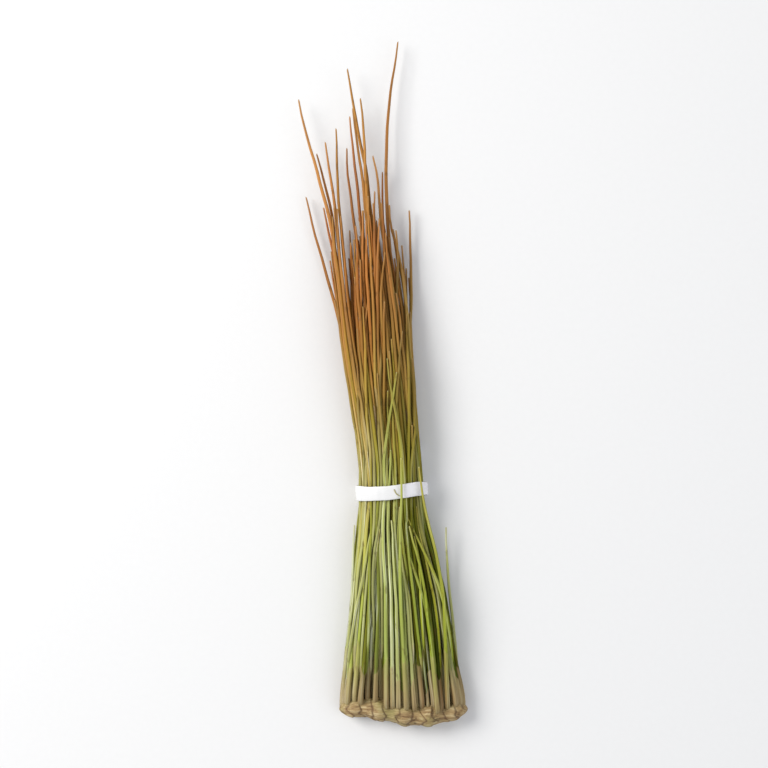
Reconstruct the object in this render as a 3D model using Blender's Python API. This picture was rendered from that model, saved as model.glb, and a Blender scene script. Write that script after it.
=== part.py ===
"""Dwarf hairgrass: a bunch of fine blades held by a tie, lying on its back.

Metres, +Z up. The bunch lies along Y, foot at -Y and tips at +Y, and the origin is on the floor under
the middle of the tie. The routes of the blades are written in millimetres, seen from above, and the
blades are then eased apart so that each one has its own room beside its neighbours.
"""

import math
import random

import bmesh
import bpy
import numpy as np

MM = 0.001
SEED = 11

# Blades
BLADE_RADIUS = 0.43
TIP_SHARE = 0.42
TAPER_LENGTH = 14.0
FOOT_SWELL = 0.12
FOOT_SWELL_LENGTH = 8.0
SHORTEST_STEP = 3.0
GAP = 0.3

# The blades in the thick of the bunch: how many, between which heights they end, and how far their
# tips and feet stray sideways and in depth, as shares of the bunch's half width and half thickness
MIDDLE_BLADES = 24
MIDDLE_TIPS = (30.0, 59.0)
TIP_STRAY = (0.22, 0.15)
FOOT_STRAY = (0.16, 0.12)
SEEN_FOOT_STRAY = 0.06
PLACES_TRIED = 300

# The tie, a flat strip round the bunch. Its opening is an ellipse with a flat underside.
TIE_WIDTH = 3.1
TIE_THICKNESS = 0.5
TIE_INNER_HALF_WIDTH = 7.0
TIE_INNER_HALF_HEIGHT = 4.25
TIE_CENTRE_Z = 4.5
TIE_SLANT = math.radians(3.5)
TIE_OUTLINE_POINTS = 32
TIE_REACH = 1.4
TWIST_START = (5.1, 0.0, 1.0)
TWIST_END = (5.3, 9.0, 0.95)
TWIST_SECTION = (1.5, 0.8)
TWIST_TURN = math.radians(540.0)
TWIST_STEPS = 12
TWIST_ROOM = 0.95
TWIST_REACH = 2.0

# The foot, a knotted bar across the bunch
CROWN_LEFT = -10.8
CROWN_RIGHT = 15.6
CROWN_Y = -45.2
CROWN_Z = 2.5
CROWN_RADIUS = 3.6
CROWN_DEPTH_SHARE = 0.66
CROWN_KNOTS = 5
CROWN_KNOT_RISE = 0.10
CROWN_SWELLS = 1.6
CROWN_END_SHARE = 0.25
CROWN_BOW = 0.7
CROWN_STEPS = 26
FLOOR_BLOCK = (60.0, 30.0, 20.0)

# Heights along the bunch at which every blade has a point
STATIONS = (-44.0, -36.0, -28.0, -20.0, -13.0, -6.5, 0.0, 6.5, 13.0, 20.0, 28.0, 37.0, 46.0, 55.0, 65.0,
            75.0, 85.0, 95.0)

# The thick of the bunch: at each height, its left and right edge, its underside and its top
OUTLINE_Y = (-44.0, -19.0, -13.0, -7.0, 0.0, 7.0, 16.0, 24.0, 31.0, 37.0, 46.0, 56.0, 95.0)
OUTLINE_LEFT = (-10.2, -8.1, -7.8, -7.4, -6.9, -7.1, -8.1, -9.4, -10.2, -10.7, -11.6, -12.3, -15.0)
OUTLINE_RIGHT = (15.0, 10.9, 9.2, 7.7, 6.8, 6.1, 5.4, 4.7, 4.3, 3.8, 2.4, 0.2, -1.5)
OUTLINE_UNDER = (0.0, 0.0, 0.0, 0.1, 0.3, 0.1, 0.0, 0.0, 0.0, -0.2, -0.5, -0.5, -0.5)
OUTLINE_TOP = (6.1, 8.2, 8.5, 8.7, 8.6, 8.8, 9.0, 9.0, 8.9, 8.7, 8.2, 7.6, 5.0)

# Each blade that stands out: its depth in the bunch, from -1 at the underside to 1 at the top, and
# its route from above as (x, y) from the tip down to where it joins the others
TALL_BLADES = (
    (0.10, ((1.4, 92.1), (-0.8, 78.0), (-1.1, 67.2), (-0.6, 54.9), (0.1, 45.7), (1.6, 24.0))),
    (0.50, ((-9.0, 86.4), (-7.9, 77.8), (-6.6, 71.4), (-5.7, 67.2), (-4.8, 61.1), (-4.0, 53.4))),
    (0.20, ((-8.1, 78.3), (-7.2, 71.0), (-6.1, 64.5), (-5.2, 57.0))),
    (0.60, ((-6.4, 80.2), (-5.8, 74.0), (-5.5, 70.3), (-5.1, 64.2))),
    (0.35, ((-8.6, 76.6), (-7.7, 67.9), (-6.7, 58.0))),
    (0.30, ((-19.1, 80.1), (-17.1, 70.9), (-14.8, 62.9), (-13.0, 56.5), (-11.6, 49.0))),
    (-0.10, ((-15.3, 69.1), (-13.4, 61.1), (-12.3, 56.8))),
    (0.15, ((-13.9, 71.4), (-12.1, 61.7), (-11.6, 58.0))),
    (0.50, ((-11.5, 74.1), (-11.3, 64.2), (-10.6, 56.5))),
    (0.05, ((-9.2, 70.2), (-8.6, 59.5), (-7.4, 53.4))),
    (0.50, ((-3.7, 68.5), (-2.7, 63.2), (-2.6, 59.5))),
    (-0.10, ((-2.0, 65.4), (-2.2, 59.5))),
    (-0.35, ((-17.9, 60.3), (-15.7, 51.5), (-13.2, 42.9), (-10.8, 34.0), (-9.6, 27.2))),
    (0.75, ((-3.8, 61.1), (-3.9, 52.0))),
)
OUTER_BLADES = (
    (-0.10, ((-14.1, 58.0), (-12.3, 50.3), (-11.6, 46.3))),
    (-0.45, ((3.6, 57.5), (3.6, 51.8), (4.0, 42.6), (3.7, 27.2))),
    (0.45, ((0.9, 53.2), (1.2, 44.2), (0.6, 36.5))),
    (-0.70, ((3.1, 45.7), (2.8, 41.0))),
    (0.85, ((-6.0, 57.1), (-5.8, 50.0))),
    (0.70, ((-2.1, 58.6), (-1.3, 47.2))),
    (0.60, ((-10.9, 48.5), (-10.0, 42.0))),
    (0.88, ((-7.7, 51.2), (-7.2, 44.0))),
)
SHORT_BLADES = (
    (0.98, ((1.0, 24.2), (0.0, 18.0), (-1.1, 10.3), (-2.0, 2.0))),
    (0.90, ((-0.7, 20.5), (-1.2, 16.5))),
    (0.95, ((-0.5, 8.5), (-1.1, 1.7))),
    (-0.20, ((11.2, -7.5), (11.3, -17.4))),
    (0.05, ((-7.5, -6.9), (-7.9, -17.4))),
    (0.90, ((0.1, -5.1), (1.4, -12.8))),
    (0.95, ((-0.6, -5.7), (0.2, -15.8))),
    (0.85, ((1.9, -12.5), (2.4, -18.0))),
    (0.92, ((-1.0, -10.3), (-1.0, -17.4))),
    (0.88, ((3.3, -6.9), (5.8, -15.8))),
)
LOOSE_BLADES = (
    (1.10, ((1.7, 6.9), (1.8, -0.5), (1.5, -11.2), (1.4, -17.4))),
    (1.00, ((5.4, 5.1), (6.0, -0.5), (7.9, -8.2), (9.7, -17.4))),
)

# Easing the blades apart. In each round, each blade of a pair that is too close takes PAIR_SHARE of the
# missing room, and less of it sideways than in depth. Its way from its first place is smoothed along
# the blade and drawn back a little, but not in the last rounds, which only settle it.
EASE_ROUNDS = 700
SETTLE_ROUNDS = 200
PARTS_PER_STEP = 4
PAIR_SHARE = 0.62
SIDEWAYS_SHARE = 0.7
STRIDE = 1.5
SMOOTHING = 0.12
PULL_BACK = 0.004
LEAN_ALLOWANCE = 1.03
TIP_ALLOWANCE = 0.8

COLOURS = {
    "tall": (0.36, 0.21, 0.06),
    "middle": (0.30, 0.22, 0.07),
    "outer": (0.33, 0.23, 0.07),
    "short": (0.27, 0.29, 0.08),
    "loose": (0.42, 0.42, 0.14),
}
CROWN_COLOUR = (0.30, 0.23, 0.12)
TIE_COLOUR = (0.86, 0.86, 0.84)


def clear_scene():
    for obj in list(bpy.data.objects):
        bpy.data.objects.remove(obj)


def material(name, colour, roughness):
    """A Principled material with one colour and one roughness."""
    made = bpy.data.materials.new(name)
    made.use_nodes = True
    shader = made.node_tree.nodes["Principled BSDF"]
    shader.inputs["Base Color"].default_value = (*colour, 1.0)
    shader.inputs["Roughness"].default_value = roughness
    shader.inputs["Metallic"].default_value = 0.0
    return made


def crown_middle(x):
    """The y of the crown's middle line at x: a shallow bow across the foot."""
    share = (x - CROWN_LEFT) / (CROWN_RIGHT - CROWN_LEFT)
    return CROWN_Y + CROWN_BOW * math.sin(2.0 * math.pi * share + 0.6)


def crown_radius(x):
    """The crown's half height at x: knots in a row, closing in at both ends."""
    share = min(max((x - CROWN_LEFT) / (CROWN_RIGHT - CROWN_LEFT), 0.0), 1.0)
    knots = math.cos(2.0 * math.pi * CROWN_KNOTS * share + math.pi)
    swells = math.cos(2.0 * math.pi * CROWN_SWELLS * share + 0.8)
    closing = (1.0 - (2.0 * share - 1.0) ** 4) ** 0.5
    uneven = 1.0 + CROWN_KNOT_RISE * (knots + 0.5 * swells)
    return CROWN_RADIUS * uneven * max(closing, CROWN_END_SHARE)


def crown_face(x, z):
    """The y of the crown's front surface at x and z."""
    radius = crown_radius(x)
    rise = min(abs(z - CROWN_Z) / radius, 0.97)
    return crown_middle(x) + CROWN_DEPTH_SHARE * radius * math.sqrt(1.0 - rise * rise)


def foot_height(x, z):
    """The y at which a blade at x and z ends, clear of the crown all round its end."""
    reach = (-BLADE_RADIUS, 0.0, BLADE_RADIUS)
    return max(crown_face(x + across, z + up) for across in reach for up in reach) + GAP


def within_disc(u, v, reach=0.98):
    size = math.hypot(u, v)
    shrink = min(1.0, reach / size) if size > 0.0 else 1.0
    return u * shrink, v * shrink


def middle_and_reach(y):
    """The middle of the bunch's cross-section at y, and how far a blade's centre may be from it."""
    left = np.interp(y, OUTLINE_Y, OUTLINE_LEFT) + BLADE_RADIUS
    right = np.interp(y, OUTLINE_Y, OUTLINE_RIGHT) - BLADE_RADIUS
    under = np.interp(y, OUTLINE_Y, OUTLINE_UNDER) + BLADE_RADIUS
    top = np.interp(y, OUTLINE_Y, OUTLINE_TOP) - BLADE_RADIUS
    return 0.5 * (left + right), 0.5 * (under + top), 0.5 * (right - left), 0.5 * (top - under)


def place_in_bunch(u, v, y):
    """From shares of the bunch's half width and half thickness at y to x and z."""
    middle_x, middle_z, half_width, half_height = middle_and_reach(y)
    return middle_x + u * half_width, middle_z + v * half_height


def share_across(x, y):
    middle_x, _, half_width, _ = middle_and_reach(y)
    return (x - middle_x) / half_width


def extended(route):
    """The route as rising heights and their x, with one more point past the tip on the same line."""
    heights = [y for _, y in reversed(route)]
    across = [x for x, _ in reversed(route)]
    slope = (across[-1] - across[-2]) / (heights[-1] - heights[-2])
    beyond = STATIONS[-1] + 10.0
    return heights + [beyond], across + [across[-1] + slope * (beyond - heights[-1])]


def between(start, end, share):
    return [a + (b - a) * share for a, b in zip(start, end)]


def seen_blade(kind, depth, route, chance):
    """A blade that follows its seen route, and below it the flow of the bunch."""
    heights, across = extended(route)
    join_y = heights[0]
    join = (share_across(across[0], join_y), depth)
    tie = within_disc(*join)
    foot = within_disc(tie[0] + chance.uniform(-SEEN_FOOT_STRAY, SEEN_FOOT_STRAY), tie[1])
    neck, neck_y = (tie, 0.0) if join_y > 0.0 else (join, join_y)
    spots = []
    for y in STATIONS:
        if y >= join_y:
            x = np.interp(y, heights, across)
            z = place_in_bunch(0.0, depth, y)[1]
        elif y >= 0.0:
            x, z = place_in_bunch(*between(tie, join, y / join_y), y)
        else:
            x, z = place_in_bunch(*between(neck, foot, (neck_y - y) / (neck_y - STATIONS[0])), y)
        spots.append((x, z))
    return {"kind": kind, "tip": route[0][1], "spots": spots, "loose": kind == "loose"}


def middle_blade(u, v, tip, chance):
    """A blade in the thick of the bunch that leans a little against the flow on both sides of the tie."""
    tie = (u, v)
    top = within_disc(*(value + chance.gauss(0.0, stray) for value, stray in zip(tie, TIP_STRAY)))
    foot = within_disc(*(value + chance.gauss(0.0, stray) for value, stray in zip(tie, FOOT_STRAY)))
    spots = []
    for y in STATIONS:
        end, end_y = (top, tip) if y > 0.0 else (foot, STATIONS[0])
        spots.append(place_in_bunch(*between(tie, end, min(y / end_y, 1.2)), y))
    return {"kind": "middle", "tip": tip, "spots": spots, "loose": False}


def open_place(taken, chance):
    """The place in the bunch's cross-section that is farthest from those taken, of many tried."""
    tried = []
    half_width, half_height = middle_and_reach(0.0)[2:]
    for _ in range(PLACES_TRIED):
        angle = chance.uniform(0.0, 2.0 * math.pi)
        size = math.sqrt(chance.random())
        u, v = size * math.cos(angle), size * math.sin(angle)
        room = min(math.hypot(half_width * (u - a), half_height * (v - b)) for a, b in taken)
        tried.append((room, u, v))
    return max(tried)[1:]


def plan_blades():
    """Every blade with its kind, its tip's height and its first place at each station."""
    chance = random.Random(SEED)
    listed = {"tall": TALL_BLADES, "outer": OUTER_BLADES, "short": SHORT_BLADES, "loose": LOOSE_BLADES}
    blades = [
        seen_blade(kind, depth, route, chance) for kind, routes in listed.items() for depth, route in routes
    ]
    _, middle_z, _, half_height = middle_and_reach(0.0)
    tie_station = STATIONS.index(0.0)
    taken = []
    for blade in blades:
        if blade["tip"] > 0.0 and not blade["loose"]:
            x, z = blade["spots"][tie_station]
            taken.append((share_across(x, 0.0), (z - middle_z) / half_height))
    low, high = MIDDLE_TIPS
    tips = [low + (high - low) * (index + 0.5) / MIDDLE_BLADES for index in range(MIDDLE_BLADES)]
    chance.shuffle(tips)
    for tip in tips:
        u, v = open_place(taken, chance)
        taken.append((u, v))
        blades.append(middle_blade(u, v, tip, chance))
    return blades


def radius_at(from_tip, from_foot):
    """Full thickness along the blade, a slow taper to the tip and a slight swelling at the foot."""
    taper = TIP_SHARE + (1.0 - TIP_SHARE) * (1.0 - np.exp(-np.maximum(from_tip, 0.0) / TAPER_LENGTH))
    swell = 1.0 + FOOT_SWELL * np.exp(-np.maximum(from_foot, 0.0) / FOOT_SWELL_LENGTH)
    return BLADE_RADIUS * taper * swell


def finer_heights():
    """Heights between the stations, and the share that each station has in them."""
    stations = np.array(STATIONS)
    count = (len(stations) - 1) * PARTS_PER_STEP + 1
    along = np.linspace(0.0, len(stations) - 1.0, count)
    shares = np.maximum(1.0 - np.abs(along[:, None] - np.arange(len(stations))[None, :]), 0.0)
    return shares @ stations, shares


def hold_in_tie(spots, radius, heights, loose):
    """Blades stay inside the strip where it goes round them, and the loose ones above it."""
    near = np.abs(heights) < 0.5 * TIE_WIDTH + TIE_REACH
    across, up = spots[..., 0], spots[..., 1] - TIE_CENTRE_Z
    half_width = TIE_INNER_HALF_WIDTH - radius - GAP
    half_height = TIE_INNER_HALF_HEIGHT - radius - GAP
    reach = np.hypot(across / half_width, up / half_height)
    outside = near[None, :] & ~loose[:, None] & (reach > 1.0)
    inward = np.where(outside, 1.0 / np.maximum(reach, 1.0), 1.0)
    over_width = TIE_INNER_HALF_WIDTH + TIE_THICKNESS + radius + GAP
    over_height = TIE_INNER_HALF_HEIGHT + TIE_THICKNESS + radius + GAP
    lowest = over_height * np.sqrt(np.maximum(1.0 - (across / over_width) ** 2, 0.0))
    lift = np.where(near[None, :] & loose[:, None], np.maximum(lowest - up, 0.0), 0.0)
    push = np.zeros_like(spots)
    push[..., 0] = across * (inward - 1.0)
    push[..., 1] = up * (inward - 1.0) + lift
    return push


def keep_off_twist(spots, radius, heights):
    """Blades keep clear of the twisted ends beside the tie."""
    start, end = np.array(TWIST_START), np.array(TWIST_END)
    share = np.clip((heights - start[1]) / (end[1] - start[1]), 0.0, 1.0)
    middle = start[[0, 2]] + share[:, None] * (end - start)[[0, 2]]
    apart = spots - middle[None, :, :]
    distance = np.maximum(np.linalg.norm(apart, axis=2), 1e-6)
    beside = (heights > start[1] - TWIST_REACH) & (heights < end[1] + TWIST_REACH)
    short = np.where(beside[None, :], np.maximum(TWIST_ROOM + radius + GAP - distance, 0.0), 0.0)
    return apart / distance[..., None] * short[..., None]


def push_apart(spots, radius, present):
    """What moves each blade away from those that are too close to it, at each height."""
    push = np.zeros_like(spots)
    for index in range(len(spots)):
        apart = spots[index][None, :, :] - spots
        distance = np.maximum(np.linalg.norm(apart, axis=2), 1e-6)
        short = radius[index][None, :] + radius + GAP - distance
        both = present[index][None, :] & present
        short = np.where(both & (short > 0.0), short, 0.0)
        short[index] = 0.0
        touching = np.maximum((short > 0.0).sum(axis=0), 1)
        away = (apart / distance[..., None] * short[..., None]).sum(axis=0)
        push[index] = PAIR_SHARE * away / touching[:, None]
    return push


def ease_apart(blades):
    """The blades' places at the stations after they have made room for each other."""
    heights, shares = finer_heights()
    tips = np.array([blade["tip"] for blade in blades])
    loose = np.array([blade["loose"] for blade in blades])
    first = np.array([blade["spots"] for blade in blades])
    radius = radius_at(tips[:, None] - heights[None, :], heights[None, :] - STATIONS[0]) * LEAN_ALLOWANCE
    present = heights[None, :] < tips[:, None] + TIP_ALLOWANCE
    weight = shares.sum(axis=0)
    spots = first.copy()
    for step in range(EASE_ROUNDS + SETTLE_ROUNDS):
        fine = np.einsum("hs,bsc->bhc", shares, spots)
        push = push_apart(fine, radius, present)
        push += hold_in_tie(fine, radius, heights, loose)
        push += keep_off_twist(fine, radius, heights)
        push[..., 1] += np.maximum(radius - fine[..., 1], 0.0)
        push[~present] = 0.0
        push[..., 0] *= SIDEWAYS_SHARE
        spots = spots + STRIDE * np.einsum("hs,bhc->bsc", shares, push) / weight[None, :, None]
        if step < EASE_ROUNDS:
            drift = spots - first
            between = 0.5 * (drift[:, :-2] + drift[:, 2:])
            drift[:, 1:-1] += SMOOTHING * (between - drift[:, 1:-1])
            spots = first + drift * (1.0 - PULL_BACK)
    return spots


def blade_points(spots, tip):
    """The blade's points from just clear of the crown up to its tip, in millimetres."""
    across, up = spots[:, 0], spots[:, 1]
    foot_y = foot_height(across[0], up[0])
    inner = [y for y in STATIONS if foot_y + SHORTEST_STEP < y < tip - SHORTEST_STEP]
    heights = [foot_y] + inner + [tip]
    return [(np.interp(y, STATIONS, across), y, np.interp(y, STATIONS, up)) for y in heights]


def blade_object(name, points, colour, collection, parent):
    """One blade: a tapered tube along its points, set down at its foot."""
    curve = bpy.data.curves.new(name, "CURVE")
    curve.dimensions = "3D"
    curve.bevel_depth = BLADE_RADIUS * MM
    curve.bevel_resolution = 1
    curve.use_fill_caps = True
    spline = curve.splines.new("POLY")
    spline.points.add(len(points) - 1)
    foot, tip = points[0], points[-1]
    for point, (x, y, z) in zip(spline.points, points):
        point.co = ((x - foot[0]) * MM, (y - foot[1]) * MM, (z - foot[2]) * MM, 1.0)
        point.radius = float(radius_at(tip[1] - y, y - foot[1])) / BLADE_RADIUS
    curve.materials.append(material(name + "_finish", colour, 0.5))
    blade = bpy.data.objects.new(name, curve)
    blade.location = tuple(value * MM for value in foot)
    blade.parent = parent
    collection.objects.link(blade)
    return blade


def make_blades(collection, parent):
    blades = plan_blades()
    spots = ease_apart(blades)
    counts = {}
    for blade, places in zip(blades, spots):
        kind = blade["kind"]
        counts[kind] = counts.get(kind, 0) + 1
        name = f"{kind}_blade_{counts[kind]:02d}"
        blade_object(name, blade_points(places, blade["tip"]), COLOURS[kind], collection, parent)


def as_mesh(obj, collection):
    """The curve object's shape as a mesh object in the same place, with its caps joined on."""
    bpy.context.view_layer.update()
    mesh = bpy.data.meshes.new_from_object(obj.evaluated_get(bpy.context.evaluated_depsgraph_get()))
    shape = bmesh.new()
    shape.from_mesh(mesh)
    bmesh.ops.remove_doubles(shape, verts=shape.verts, dist=0.00001)
    bmesh.ops.recalc_face_normals(shape, faces=shape.faces)
    shape.to_mesh(mesh)
    shape.free()
    name, place, parent = obj.name, obj.matrix_world.copy(), obj.parent
    curve = obj.data
    bpy.data.objects.remove(obj)
    bpy.data.curves.remove(curve)
    made = bpy.data.objects.new(name, mesh)
    made.parent = parent
    made.matrix_world = place
    collection.objects.link(made)
    return made


def cutter_collection():
    cutters = bpy.data.collections.new("cutters")
    bpy.context.scene.collection.children.link(cutters)
    return cutters


def as_helper(obj):
    obj.hide_render = True
    obj.display_type = "WIRE"


def floor_cutter(cutters):
    """A block below the crown whose top is the floor."""
    mesh = bpy.data.meshes.new("floor_cutter")
    shape = bmesh.new()
    bmesh.ops.create_cube(shape, size=1.0)
    shape.to_mesh(mesh)
    shape.free()
    block = bpy.data.objects.new("floor_cutter", mesh)
    block.scale = [size * MM for size in FLOOR_BLOCK]
    block.location = (0.0, CROWN_Y * MM, -0.5 * FLOOR_BLOCK[2] * MM)
    cutters.objects.link(block)
    as_helper(block)
    return block


def make_crown(collection, cutters, parent):
    """The foot: a knotted bar from left to right, flattened along the bunch and flat underneath."""
    curve = bpy.data.curves.new("root_crown", "CURVE")
    curve.dimensions = "3D"
    curve.bevel_depth = CROWN_RADIUS * MM
    curve.bevel_resolution = 3
    curve.use_fill_caps = True
    spline = curve.splines.new("POLY")
    spline.points.add(CROWN_STEPS)
    for index, point in enumerate(spline.points):
        turn = math.pi * index / CROWN_STEPS
        x = 0.5 * (CROWN_LEFT + CROWN_RIGHT) - 0.5 * (CROWN_RIGHT - CROWN_LEFT) * math.cos(turn)
        point.co = (x * MM, 0.0, 0.0, 1.0)
        point.radius = crown_radius(x) / CROWN_RADIUS
    bar = bpy.data.objects.new("root_crown", curve)
    collection.objects.link(bar)
    crown = as_mesh(bar, collection)
    for vertex in crown.data.vertices:
        x, y, z = vertex.co
        vertex.co = (x, y * CROWN_DEPTH_SHARE + (crown_middle(x / MM) - CROWN_Y) * MM, z)
    crown.data.materials.clear()
    crown.data.materials.append(material("root_crown_finish", CROWN_COLOUR, 0.8))
    crown.location = (0.0, CROWN_Y * MM, CROWN_Z * MM)
    crown.parent = parent
    flat = crown.modifiers.new("flat_underside", "BOOLEAN")
    flat.operation = "DIFFERENCE"
    flat.object = floor_cutter(cutters)
    crown.data.shade_smooth()
    return crown


def tie_outline(grow):
    """An ellipse that grows outwards with the strip's thickness, its underside cut off flat.

    Only the two ends of the flat stretch are points, and the rest is the arc over the top.
    """
    half_width = TIE_INNER_HALF_WIDTH + grow
    half_height = TIE_INNER_HALF_HEIGHT + grow
    first = math.asin((TIE_THICKNESS - grow - TIE_CENTRE_Z) / half_height)
    sweep = math.pi - 2.0 * first
    turns = [first + sweep * index / TIE_OUTLINE_POINTS for index in range(TIE_OUTLINE_POINTS + 1)]
    return [(half_width * math.cos(turn), TIE_CENTRE_Z + half_height * math.sin(turn)) for turn in turns]


def tie_ring(collection, parent):
    """The strip round the bunch: two flat outlines, filled between and as wide as the strip."""
    curve = bpy.data.curves.new("tie", "CURVE")
    curve.dimensions = "2D"
    curve.fill_mode = "BOTH"
    curve.extrude = 0.5 * TIE_WIDTH * MM
    for grow in (TIE_THICKNESS, 0.0):
        outline = tie_outline(grow)
        spline = curve.splines.new("POLY")
        spline.points.add(len(outline) - 1)
        spline.use_cyclic_u = True
        for point, (x, z) in zip(spline.points, outline):
            point.co = (x * MM, z * MM, 0.0, 1.0)
    ring = bpy.data.objects.new("tie", curve)
    ring.rotation_euler = (0.5 * math.pi, 0.0, TIE_SLANT)
    ring.parent = parent
    collection.objects.link(ring)
    return as_mesh(ring, collection)


def tie_twist(cutters):
    """The strip's two ends twisted together: a flat bar that turns round its own length."""
    start, end = np.array(TWIST_START), np.array(TWIST_END)
    shape = bmesh.new()
    bmesh.ops.create_cube(shape, size=1.0)
    long_edges = [edge for edge in shape.edges if abs(edge.verts[0].co.y - edge.verts[1].co.y) > 0.5]
    bmesh.ops.subdivide_edges(shape, edges=long_edges, cuts=TWIST_STEPS - 1, use_grid_fill=True)
    for vertex in shape.verts:
        share = vertex.co.y + 0.5
        turn = TWIST_TURN * share
        x, z = vertex.co.x * TWIST_SECTION[0], vertex.co.z * TWIST_SECTION[1]
        middle = start + (end - start) * share
        vertex.co = (
            (middle[0] + x * math.cos(turn) - z * math.sin(turn)) * MM,
            middle[1] * MM,
            (middle[2] + x * math.sin(turn) + z * math.cos(turn)) * MM,
        )
    mesh = bpy.data.meshes.new("tie_twist")
    shape.to_mesh(mesh)
    shape.free()
    twist = bpy.data.objects.new("tie_twist", mesh)
    cutters.objects.link(twist)
    as_helper(twist)
    return twist


def make_tie(collection, cutters, parent):
    tie = tie_ring(collection, parent)
    tie.data.materials.clear()
    tie.data.materials.append(material("tie_finish", TIE_COLOUR, 0.3))
    join = tie.modifiers.new("twisted_ends", "BOOLEAN")
    join.operation = "UNION"
    join.object = tie_twist(cutters)
    return tie


def main():
    clear_scene()
    collection = bpy.data.collections.new("dwarf_hairgrass")
    bpy.context.scene.collection.children.link(collection)
    cutters = cutter_collection()
    origin = bpy.data.objects.new("bunch_origin", None)
    collection.objects.link(origin)
    make_crown(collection, cutters, origin)
    make_tie(collection, cutters, origin)
    make_blades(collection, origin)


main()
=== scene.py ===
import math

import bpy
import numpy as np
from mathutils.geometry import delaunay_2d_cdt
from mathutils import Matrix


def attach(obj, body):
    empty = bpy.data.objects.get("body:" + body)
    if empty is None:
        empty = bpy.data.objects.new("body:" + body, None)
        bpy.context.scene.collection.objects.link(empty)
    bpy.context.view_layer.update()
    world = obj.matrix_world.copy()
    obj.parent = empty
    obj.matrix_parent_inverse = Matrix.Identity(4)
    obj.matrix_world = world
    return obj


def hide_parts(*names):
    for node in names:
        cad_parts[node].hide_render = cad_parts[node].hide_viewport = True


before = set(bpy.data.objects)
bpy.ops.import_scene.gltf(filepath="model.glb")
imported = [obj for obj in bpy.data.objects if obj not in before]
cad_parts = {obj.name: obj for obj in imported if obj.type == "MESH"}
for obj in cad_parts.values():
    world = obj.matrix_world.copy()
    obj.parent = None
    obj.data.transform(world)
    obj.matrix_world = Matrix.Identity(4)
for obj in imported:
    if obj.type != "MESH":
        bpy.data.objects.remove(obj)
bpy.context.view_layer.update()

# The bunch lies on its back: foot at -Y, tips towards +Y, floor at z = 0. Shapes and the view are in
# millimetres until a mesh or the camera is made. Materials and lights are in metres.
MM = 0.001
TURN = 2.0 * math.pi
UP = np.array([0.0, 0.0, 1.0])

# Rings and sides of the blades. Rings of a solid are told apart where its points leave RING_BREAK free.
RING_BREAK = 1.1
SIDES = 26
ROW_STEP = 2.1
THIN_SIDES = 10
THIN_ROW_STEP = 3.0
FEWEST_ROWS = 6
ROW_CROWDING = 1.15
SHEATH_ROWS = 9
TIP_ROWS = 6

# A blade's section, and how far it is turned at the foot and with each millimetre
FLATNESS = 0.82
RIDGES = 4
RIDGE_RISE = 0.05
CHANNEL_DEPTH = 0.40
CHANNEL_WIDTH = 0.46
FIRST_TURN = 1.3
TURN_RATE = 0.03

# Along a blade: its foot in the crown, the sheath round its lowest part, the waver of its line and its tip
BLADE_RADIUS = 0.43
FOOT_DEPTH = 1.6
SHEATH_LENGTHS = (3.0, 12.0)
SHEATH_SLANTS = (0.3, 0.9)
SHEATH_THICKNESS = 0.14
SHEATH_LIP = 0.12
SHEATH_THINS_OVER = 9.0
SHEATH_FADES = (2.0, 11.0)
SHEATH_FADE = 0.55
WAVER = 0.07
WAVER_GROWS_OVER = 12.0
WAVER_NEAR_TIP = (35.0, 5.0)
WAVER_LENGTHS = (5.0, 6.0)
FINE_TIP = 0.7
BLUNT_TIP = 0.25
TIP_RADIUS = 0.18
LOOK_AHEAD = 0.4

# Thin inner blades that fill the bunch between the others
INNER_RADIUS = 0.34
INNER_STEP = 4.0
INNER_ROOM = 0.04
INNER_STRAY = 0.12
THIN_HEIGHTS = (-42.0, 62.0)
INNER_PIECES = 6
SOLID_RADIUS = 0.38
THIN_TAPER = 12.0
# For each set of inner blades: the height at which it is planned, how many, and the range of its tips
DEEP_SETS = ((50.0, 30, (44.0, 58.0)), (34.0, 14, (36.0, 50.0)), (20.0, 8, (14.0, 38.0)))
GROOVE_SETS = ((2.0, (16.0, 50.0)), (34.0, (38.0, 57.0)), (-22.0, (6.0, 30.0)))
GROOVE_RISE = 0.16
WIDEST_SIDE = 4.6
WIDEST_PAIR = 1.7
PARTING_HEIGHTS = (8.0, 60.0)
LOWEST_INNER_TIP = 14.0
TIP_BELOW_OTHERS = 1.0
END_ROOM = 1.5

# Moving thin blades clear: rounds, shares of push, pull home and smoothing, and the tie's room and reach
CLEARING_ROUNDS = 240
PUSH_SHARE = 0.35
HOME_SHARE = 0.04
SMOOTH_SHARE = 0.2
LEAST_DISTANCE = 0.05
TIE_ROOM = 0.12
TIE_REACH = (13.0, 4.5)

# Stray blades across the others: how deep they start, over what length they come up, and how low they lie
STRAY_STEP = 3.0
STRAY_ROUTE_STEP = 1.5
STRAY_DEPTH = 2.0
STRAY_RISE_OVER = 12.0
STRAY_SHIFT = 0.05
STRAY_SMOOTHING = 6
LOWEST_REST = 1.0
LOWEST_STRAY = 0.8

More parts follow.
